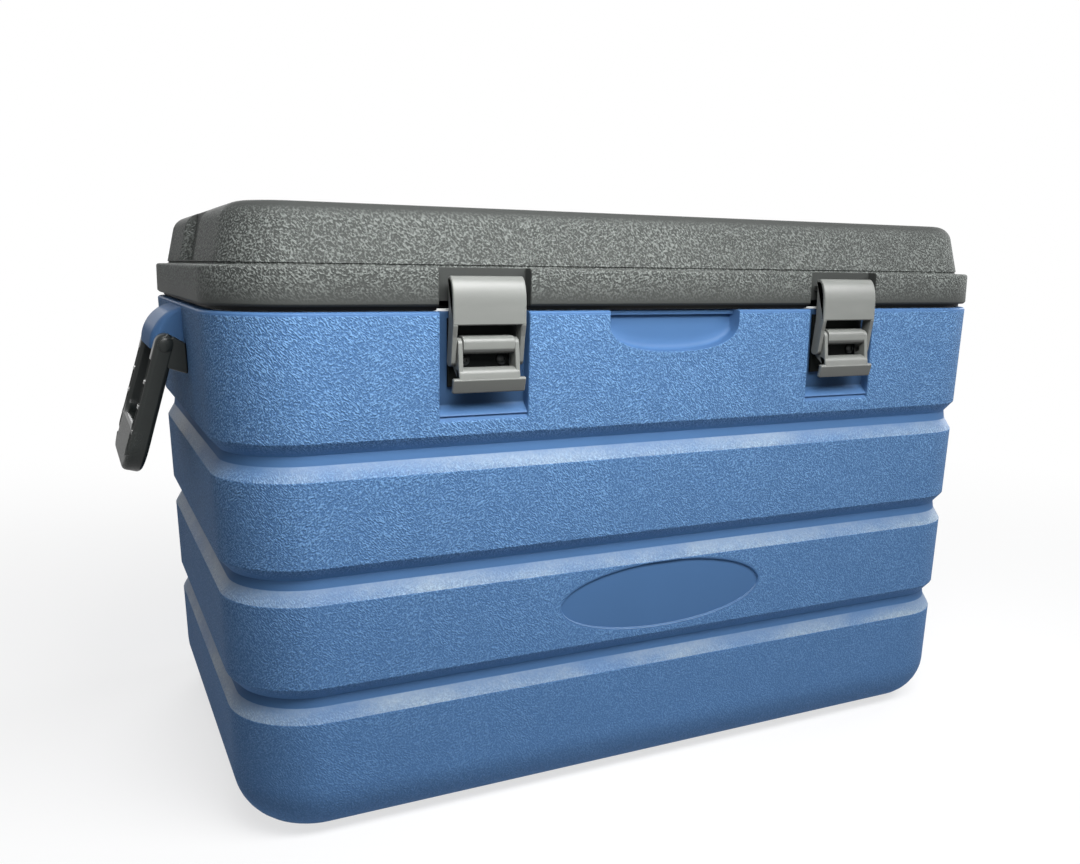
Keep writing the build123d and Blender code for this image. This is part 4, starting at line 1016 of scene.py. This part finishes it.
def lid_surface(box):
    """Lid: its profile carried round the plan, cut back at the latches and dished at both ends."""
    case, lid, latch = box.case, box.lid, box.latch
    notch, dip = latch.width / 2 + latch.notch_side, lid.dip_width / 2
    front = spread(*[edge_columns(middle, notch) for middle in latch_middles(box)], [-0.2, 0.0, 0.2])
    side = spread(edge_columns(0.0, dip), [-0.1, 0.1])
    plan = Plan(densify(front, 0.008), densify(side, 0.008), densify([-0.2, 0.2], 0.02), 14)
    height, side_inset, front_inset, corner, grain, skirt_rows = lid_rows(box)
    x, y = plan.rings(case.width / 2 - side_inset, case.depth / 2 - front_inset, corner)
    skirt = (np.arange(len(height)) < skirt_rows)[:, None]
    outer = skirt & (front_inset[:, None] < lid.ledge)
    cut = sunk(notch - beside_latch(box, x), latch.notch_depth, 0.001) * plan.front * outer
    y = np.where(outer & plan.front, np.maximum(y, -case.depth / 2 + cut), y)
    z = np.broadcast_to(height[:, None], x.shape)
    raised = case.rim + lid.seam + 0.0004
    share = held(cut / latch.notch_depth)
    z = np.where(outer & (z < raised), z + (raised - z) * share, z)
    foot = case.rim + lid.seam + lid.skirt + CROWN_FOOT
    floor = case.width / 2 - lid.dip_inset - (z - foot) * DIP_LEAN
    edge = sunk(dip - np.abs(y), 0.01) / 0.01 * plan.ends
    deep = np.clip(np.abs(x) - floor, 0.0, None) * held((z - foot) / 0.0002) * edge
    surface = Surface()
    surface.add_grid(np.stack([x - np.sign(x) * np.where(skirt, 0.0, deep), y, z], -1),
                     np.minimum(grain[:, None], held(1 - cut / 0.0005)))
    return surface


class CARRYBOX_OT_lid(bpy.types.Operator):
    """Builds the crowned lid with its skirt, notches, keepers and dips"""
    bl_idname = "carrybox.lid"
    bl_label = "Lid"

    def execute(self, context):
        box = context.scene.carry_box
        surface = lid_surface(box)
        half = box.latch.width / 2 - box.latch.cheek
        for middle in latch_middles(box):
            surface.add_grid(prism(KEEPER, middle - half, middle + half, 0.0006, front_place(box)))
        put(surface, "lid_shell_moulding", "lid plastic", "lid", "lid_shell")
        return {"FINISHED"}


# --------------------------------------------------------------------- latches
def bow(out, low, high, steps=14):
    """Quarter ellipse from straight above its centre round to straight out of it."""
    turn = np.linspace(0.0, np.pi / 2, steps)
    return np.stack([out * np.sin(turn), low + (high - low) * np.cos(turn)], -1)


def strap_plate():
    """Section of the strap's plate: a bow outside, a lesser bow inside and a hooked nose."""
    tail = soften([(0.0075, 0.004), (0.0075, -0.008), (0.0045, -0.008), (0.0045, 0.004)],
                  [0.0001, 0.0009, 0.0005, 0.0001], 3)
    nose = soften([(0.0, 0.0185), (-0.0026, 0.0175), (-0.0026, 0.0205), (0.0, 0.0215)],
                  [0.0001, 0.0005, 0.0009, 0.0001], 3)
    return np.concatenate([bow(0.0075, 0.005, 0.0215)[1:], tail[4:12], bow(0.0045, 0.005, 0.0185)[::-1][:-1],
                           nose[4:12]])


# Sections, outward of the skirt's face and above the rim
STRAP_CHEEK = soften([(0.0005, 0.0203), (0.0062, 0.005), (0.0074, -0.008), (0.0058, -0.015),
                      (0.003, -0.0331), (-0.005, -0.0331), (-0.0015, -0.008), (-0.0015, 0.0185)],
                     [0.0008, 0.006, 0.004, 0.004, 0.0034, 0.0034, 0.005, 0.0005])
LEVER_HEAD = soften([(0.0081, -0.0415), (0.0071, -0.0335), (0.0006, -0.0335), (0.0006, -0.0358),
                     (0.0036, -0.0364), (0.0045, -0.0415)], [0.0003, 0.0044, 0.0008, 0.0008, 0.0006, 0.0003])
LEVER_GRIP = soften([(0.006, -0.049), (0.0086, -0.0397), (0.0048, -0.0397), (0.0032, -0.049)],
                    [0.0012, 0.0014, 0.0006, 0.0012])
LEVER_ARM = soften([(0.005, -0.0155), (-0.004, -0.0155), (-0.004, -0.0225), (-0.0045, -0.0295),
                    (-0.0045, -0.0338), (0.004, -0.0398), (0.0073, -0.0398), (0.0067, -0.0335)],
                   [0.0042, 0.0042, 0.003, 0.002, 0.002, 0.0008, 0.0005, 0.003])
BRACKET = soften([(-0.0052, -0.0255), (0.006, -0.0255), (0.006, -0.0145), (-0.0052, -0.0145)],
                 [0.0005, 0.0036, 0.0042, 0.0005])
# The bracket's plate, widened beside the lever's arms and coloured near black: partly the real plate, partly
# a painted shade behind and beside the strap
PLATE = soften([(-0.007, -0.046), (-0.0048, -0.046), (-0.0048, -0.004), (-0.007, -0.004)],
               [0.0002, 0.001, 0.0005, 0.0002])
CHEEK_GAP, ARM_GAP, SHADE_SPARE = 0.0006, 0.0003, 0.0028    # along X, beside the lever and the barrel


class CARRYBOX_OT_latch(bpy.types.Operator):
    """Builds the strap, the lever and the bracket of both draw latches"""
    bl_idname = "carrybox.latch"
    bl_label = "Draw latches"

    def execute(self, context):
        box = context.scene.carry_box
        latch, half = box.latch, box.latch.width / 2
        inner = half - latch.cheek - CHEEK_GAP
        barrel, plate = inner - latch.arm - ARM_GAP, inner + SHADE_SPARE
        parts = {   # each piece's sections, with both ends along X and the edge radius
            "strap": [(strap_plate(), -half, half, 0.001)],
            "lever": [(LEVER_HEAD, -inner, inner, 0.001), (LEVER_GRIP, -half, half, 0.0011)],
            "bracket": [(BRACKET, -barrel, barrel, 0.0004)],
            "bracket_plate": [(PLATE, -plate, plate, 0.0004)]}
        for end in (-1.0, 1.0):
            cheek = sorted((end * (half - 0.00003), end * (half - latch.cheek)))
            arm = sorted((end * inner, end * (inner - latch.arm)))
            parts["strap"].append((STRAP_CHEEK, *cheek, 0.0007))
            parts["lever"].append((LEVER_ARM, *arm, 0.0006))
        for (name, _), middle in zip(SIDES, latch_middles(box)):
            for part, bars in parts.items():
                surface = Surface()
                for section, low, high, edge in bars:
                    surface.add_grid(prism(section, middle + low, middle + high, edge, front_place(box)))
                body = "case" if "bracket" in part else f"{name}_{part}"
                put(surface, f"{name}_{part}", "plate plastic" if "plate" in part else "latch plastic", body,
                    f"{name}_latch_{part.split('_')[0]}")
        return {"FINISHED"}


# --------------------------------------------------------------------- handles
TIP = 0.0069                # pivot to the end of an arm
EDGE_ROUND = 0.0035         # round along the edges of the handle
CHANNEL_EDGE = 0.002        # side of an arm to the edge of its channels
CHANNEL_ROWS = 0.012 + 0.017 * np.arange(4), 0.014      # starts below the pivot, and length
CHANNEL_DEPTH = 0.0038
BEND_END = 0.1069           # end of a bend, as a distance along the outer line
# Distances along the outer line down to a bend's end, and along the inner line to what they face
BEND = (0.0, 0.0554, 0.07, 0.0912, BEND_END), (0.0, 0.0554, 0.06, 0.0645, 0.069)
HEEL = soften([(0.012, -0.0265), (0.008, -0.02), (-0.0006, -0.0255), (-0.0013, -0.0458), (0.0158, -0.0398)],
              [0.002, 0.003, 0.001, 0.001, 0.001])
HEEL_HALF = 0.007
PIN_SHANK = (0, 0.0001), (0, 0.003), (0.016, 0.003), (0.016, 0.0001)        # along and radius
PIN_END = ((0.0004, 0.0042), (0.001, 0.0047), (0.0018, 0.0047), (0.0023, 0.0041), (0.0026, 0.0026),
           (0.0027, 0.0001))


def distances(line):
    """Distance along a line at each of its points."""
    return np.append(0.0, np.cumsum(np.linalg.norm(np.diff(line, axis=0), axis=1)))


def along_line(line, where):
    """Points of a line at given distances along it."""
    return np.stack([np.interp(where, distances(line), values) for values in line.T], -1)


def arm_columns():
    """Distances from an arm's edge of its columns, over the rounded edge and at a channel's wall."""
    wall = CHANNEL_EDGE + np.array([-0.0006, -0.0002, 0.0, 0.0002, 0.0004, 0.0008, 0.0023])
    return np.unique(np.concatenate([EDGE_ROUND * quarter(8)[0], wall]))


def bail_line(half, low, radius):
    """Line down one arm, round two bends and up the other arm."""
    corners = [(-half, TIP), (-half, low), (half, low), (half, TIP)]
    return soften(corners, [0, radius, radius, 0], 16, closed=False)


def handle_surface(box, side):
    """Bail handle: a rounded section carried down one arm, across the grip and up the other.

    Each section spans from the handle's outer line to the line of its loop, and its edges
    are quarter circles. The channels' depth is the lesser of a width and a length profile.
    Above the pivot the section thins as a circle does.
    """
    handle = box.handle
    half, lean = handle.span / 2, handle.tilt
    outer = bail_line(half, -handle.drop, 0.02)
    inner = bail_line(half - handle.arm, handle.grip - handle.drop, 0.01)
    total, inner_total = distances(outer)[-1], distances(inner)[-1]
    steps = np.concatenate([densify(spread(TIP * quarter(9)[0], [TIP, BEND_END]), 0.0007),
                            densify([BEND_END, total / 2], 0.002)[1:]])
    near = np.interp(steps, [*BEND[0], total / 2], [*BEND[1], inner_total / 2])
    edge = along_line(outer, np.concatenate([steps, total - steps[::-1][1:]]))
    loop = along_line(inner, np.concatenate([near, inner_total - near[::-1][1:]]))
    middle, span = (edge + loop) / 2, edge - loop
    width = np.linalg.norm(span, axis=1)
    across = span / width[:, None]
    height = held(middle[:, 1] / (TIP + 0.0001))
    thick = handle.thick / 2 * np.sqrt(1 - height ** 2)
    width = width * (1 - 0.12 * height ** 4)
    reach = width[:, None] / 2 - arm_columns()
    flat = np.linspace(-1.0, 1.0, 9)[1:-1] * reach[:, -1:]
    place = np.concatenate([-reach, flat, reach[:, ::-1]], 1)
    radius = np.minimum(EDGE_ROUND, thick)[:, None]
    rest = held(1 - (width[:, None] / 2 - np.abs(place)) / radius)
    face = thick[:, None] - radius * (1 - np.sqrt(1 - rest ** 2))
    position = middle[:, None] + across[:, None] * place[..., None]
    down = -position[..., 1]
    crosswise = handle.arm / 2 - CHANNEL_EDGE - np.abs(np.abs(position[..., 0]) - (half - handle.arm / 2))
    starts, run = CHANNEL_ROWS
    lengthwise = np.max([np.minimum(down - start, start + run - down) for start in starts], 0)
    channel = sunk(np.minimum(crosswise, lengthwise), CHANNEL_DEPTH, 0.0004, 0.0003, 0.0006)
    grip = (down > 0.0605) & (channel < 0.0001)
    back = -face[:, -2:0:-1]
    out = np.concatenate([np.minimum(face, thick[:, None] - channel), back], 1)
    grain = np.concatenate([grip, np.zeros_like(back)], 1)
    y, rise = np.moveaxis(np.concatenate([position, position[:, -2:0:-1]], 1), -1, 0)
    x = box.case.width / 2 + handle.pivot_out + out * math.cos(lean) - rise * math.sin(lean)
    z = handle.pivot_height + out * math.sin(lean) + rise * math.cos(lean)
    points = np.stack([side * np.minimum(x, CAD_BOX[1][0]), y, z], -1)
    turned = outward(points)
    return turned, grain if turned is points else grain[::-1]


def screw_head(radius, rise):
    """Profile of a domed screw head with a round recess, as (along, radius) pairs.

    The dome is an arc of a circle: its height falls with the square of the radius.
    """
    share = np.linspace(1.0, 0.36, 7)
    dome = np.stack([rise * (1 - 0.75 * share ** 2) + 0.0001, radius * share], -1)
    recess = np.array([[rise * 0.9, radius * 0.34], [rise * 0.35, radius * 0.3], [rise * 0.3, 0.0002]])
    return np.concatenate([[[-0.0004, radius * 0.96], [0.0, radius]], dome, recess])


class CARRYBOX_OT_handle(bpy.types.Operator):
    """Builds the two swing handles and the ends of their pins"""
    bl_idname = "carrybox.handle"
    bl_label = "Swing handles"

    def execute(self, context):
        box = context.scene.carry_box
        handle = box.handle
        for name, side in SIDES:
            bail, pins = Surface(), Surface()
            bail.add_grid(*handle_surface(box, side))
            pivot = np.array([side * (box.case.width / 2 + handle.pivot_out), 0.0, handle.pivot_height])
            for end in (-1.0, 1.0):
                middle, out = end * (handle.span - handle.arm) / 2, np.array([0.0, end, 0.0])
                heel = prism(HEEL, middle - HEEL_HALF, middle + HEEL_HALF, 0.001, end_place(box, side))
                bail.add_grid(heel)
                start = pivot + out * (handle.span / 2 - 0.001)
                pins.add_grid(tube(pivot + out * (handle.hood_half - 0.002), start, PIN_SHANK))
                pins.add_grid(tube(start, start + out, PIN_END, 36))
            put(bail, name + "_bail", "handle plastic", name + "_bail", name + "_handle")
            put(pins, name + "_handle_pin", "handle plastic", "case", name + "_handle_pins")
        return {"FINISHED"}


class CARRYBOX_OT_hardware(bpy.types.Operator):
    """Builds the screw heads and finishes the hinges and the pins"""
    bl_idname = "carrybox.hardware"
    bl_label = "Hinges, pins and screws"

    def execute(self, context):
        box = context.scene.carry_box
        rim, ends = box.case.rim, (-1, 1)
        bracket = [middle + end * 0.0125 for middle in latch_middles(box) for end in ends]
        hinge = [side * 0.19 + end * 0.02 for _, side in SIDES for end in ends]
        rows = (("latch_bracket_screws", "handle plastic", "case", -1.0, bracket, rim - 0.0295),
                ("hinge_body_screws", "screw steel", "case", 1.0, hinge, rim - 0.014),
                ("hinge_lid_screws", "screw steel", "lid", 1.0, hinge, rim + 0.014))
        for node, look, body, facing, places, height in rows:
            low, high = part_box(node)
            tip = high[1] if facing > 0 else low[1]
            heads = Surface()
            for x in places:
                start = np.array([x, tip - facing * 0.0021, height])
                heads.add_grid(tube(start, start + [0.0, facing, 0.0], screw_head(0.0035, 0.002), 40))
            put(heads, node.replace("screws", "screw_heads"), look, body, node)
        for name, _ in SIDES:
            recoat("hinge plastic", name + "_hinge_body_leaf", name + "_hinge_lid_leaf")
            recoat("pin steel", name + "_hinge_pin", name + "_lever_pin", name + "_strap_pins")
        recoat("foam filling", "body_foam", "lid_foam")
        return {"FINISHED"}


# ----------------------------------------------------------------------- stage
LAMPS = (   # name, place, target, both sizes, power, spread in degrees
    ("key lamp", (0.17, -0.62, 0.78), (0.03, -0.15, 0.34), (1.0, 0.25), 8.4, 180.0),
    ("side lamp", (-0.22, -0.5, 0.62), (-0.2, -0.15, 0.36), (0.5, 0.25), 1.2, 100.0),
    ("rear lamp", (0.3, 2.0, 0.8), (0.0, 0.1, 0.2), (1.4, 0.8), 30.0, 180.0),
    ("right lamp", (2.2, 0.5, 0.9), (0.0, 0.0, 0.2), (1.2, 1.2), 18.0, 180.0))


def placed(*columns):
    """Matrix of a thing whose axes and place are the columns."""
    matrix = np.eye(4)
    matrix[:3] = np.stack(columns, 1)
    return Matrix(matrix.tolist())


def camera_matrix(stage):
    """Camera to world: the view's right and up turned by the roll, and the view's reverse."""
    yaw, pitch, roll = stage.yaw, stage.pitch, stage.roll
    ahead = np.array([-math.sin(yaw) * math.cos(pitch), math.cos(yaw) * math.cos(pitch), math.sin(pitch)])
    right = np.array([math.cos(yaw), math.sin(yaw), 0.0])
    up = np.cross(right, ahead)
    return placed(math.cos(roll) * right + math.sin(roll) * up, math.cos(roll) * up - math.sin(roll) * right,
                  -ahead, stage.place)


def lamp_matrix(place, target):
    """Lamp to world: a level right, the up that goes with it, and the reverse of the way to the target."""
    away = unit(np.subtract(place, target))
    right = unit(np.cross([0.0, 1.0, 0.001], away))
    return placed(right, np.cross(away, right), away, place)


def backdrop_rays(s):
    """One for rays that should see the backdrop rather than be lit by it."""
    seen, shiny, through = (s.node("ShaderNodeLightPath", {}, f"Is {kind} Ray")
                            for kind in ("Camera", "Glossy", "Transmission"))
    return s.maths("ADD", seen + shiny, through, clamp=True)


class CARRYBOX_OT_stage(bpy.types.Operator):
    """Sets up the floor, the pale surroundings, the lamps and the camera"""
    bl_idname = "carrybox.stage"
    bl_label = "Stage"

    def execute(self, context):
        scene = context.scene
        stage = scene.carry_box.stage
        far = stage.floor_size
        mesh = bpy.data.meshes.new("floor")
        mesh.from_pydata([(-far, -far, 0.0), (far, -far, 0.0), (far, far, 0.0), (-far, far, 0.0)], [],
                         [(0, 1, 2, 3)])
        floor = bpy.data.objects.new("floor", mesh)
        scene.collection.objects.link(floor)
        s = Shader(bpy.data.materials.new("floor paint"))
        seen = backdrop_rays(s)
        shown = s.blend(s.noise(3.0), (.94, .94, .94), (.96, .96, .96))
        paint = s.node("ShaderNodeBsdfDiffuse", {"Color": s.blend(seen, (.36, .36, .36), shown)})
        glow = s.node("ShaderNodeEmission", {"Color": (1, 1, 1, 1), "Strength": 1.0})
        reach = s.node("ShaderNodeVectorMath", {0: s.place()}, "Value", operation="LENGTH")
        share = seen * (0.7 + 0.3 * s.ramp(reach / 3.0, (0.13, 0.0), (0.45, 1.0)))
        mixed = s.node("ShaderNodeMixShader", {0: share, 1: paint, 2: glow})
        s.node("ShaderNodeOutputMaterial", {"Surface": mixed})
        mesh.materials.append(s.owner)
        scene.world = bpy.data.worlds.new("surroundings")
        s = Shader(scene.world)
        light = s.blend(backdrop_rays(s), (0.07, 0.073, 0.082), (1.0, 1.0, 1.0))
        background = s.node("ShaderNodeBackground", {"Color": light, "Strength": 1.0})
        s.node("ShaderNodeOutputWorld", {"Surface": background})
        for name, place, target, size, power, spread_angle in LAMPS:
            data = bpy.data.lights.new(name, "AREA")
            data.shape = "RECTANGLE"
            data.size, data.size_y = size
            data.energy = power
            data.spread = math.radians(spread_angle)
            lamp = bpy.data.objects.new(name, data)
            lamp.matrix_world = lamp_matrix(place, target)
            scene.collection.objects.link(lamp)
        scene.view_settings.view_transform = "Standard"
        data = bpy.data.cameras.new("camera")
        data.sensor_width = 36.0
        data.sensor_fit = "HORIZONTAL"
        data.lens = stage.lens
        data.clip_start = 0.01
        camera = bpy.data.objects.new("camera", data)
        camera.matrix_world = camera_matrix(stage)
        scene.collection.objects.link(camera)
        scene.camera = camera
        return {"FINISHED"}


class CARRYBOX_PT_panel(bpy.types.Panel):
    """Lists the builders in the order they are run"""
    bl_idname = "CARRYBOX_PT_panel"
    bl_label = "Carry Box"
    bl_space_type = "VIEW_3D"
    bl_region_type = "UI"
    bl_category = "Carry Box"

    def draw(self, context):
        for builder in BUILDERS:
            self.layout.operator(builder.bl_idname)


BUILDERS = (CARRYBOX_OT_case, CARRYBOX_OT_liner, CARRYBOX_OT_lid, CARRYBOX_OT_lid_liner, CARRYBOX_OT_latch,
            CARRYBOX_OT_handle, CARRYBOX_OT_hardware, CARRYBOX_OT_stage)
CLASSES = (CaseSizes, LidSizes, LatchSizes, HandleSizes, Finishes, StageSettings, CarryBox, *BUILDERS,
           CARRYBOX_PT_panel)


def register():
    """Makes the settings, the builders and the panel known to Blender."""
    for kind in CLASSES:
        bpy.utils.register_class(kind)
    bpy.types.Scene.carry_box = PointerProperty(type=CarryBox)


def unregister():
    """Takes them away again."""
    del bpy.types.Scene.carry_box
    for kind in reversed(CLASSES):
        bpy.utils.unregister_class(kind)


def main():
    register()
    for builder in BUILDERS:
        group, name = builder.bl_idname.split(".")
        getattr(getattr(bpy.ops, group), name)()


if __name__ == "__main__":
    main()
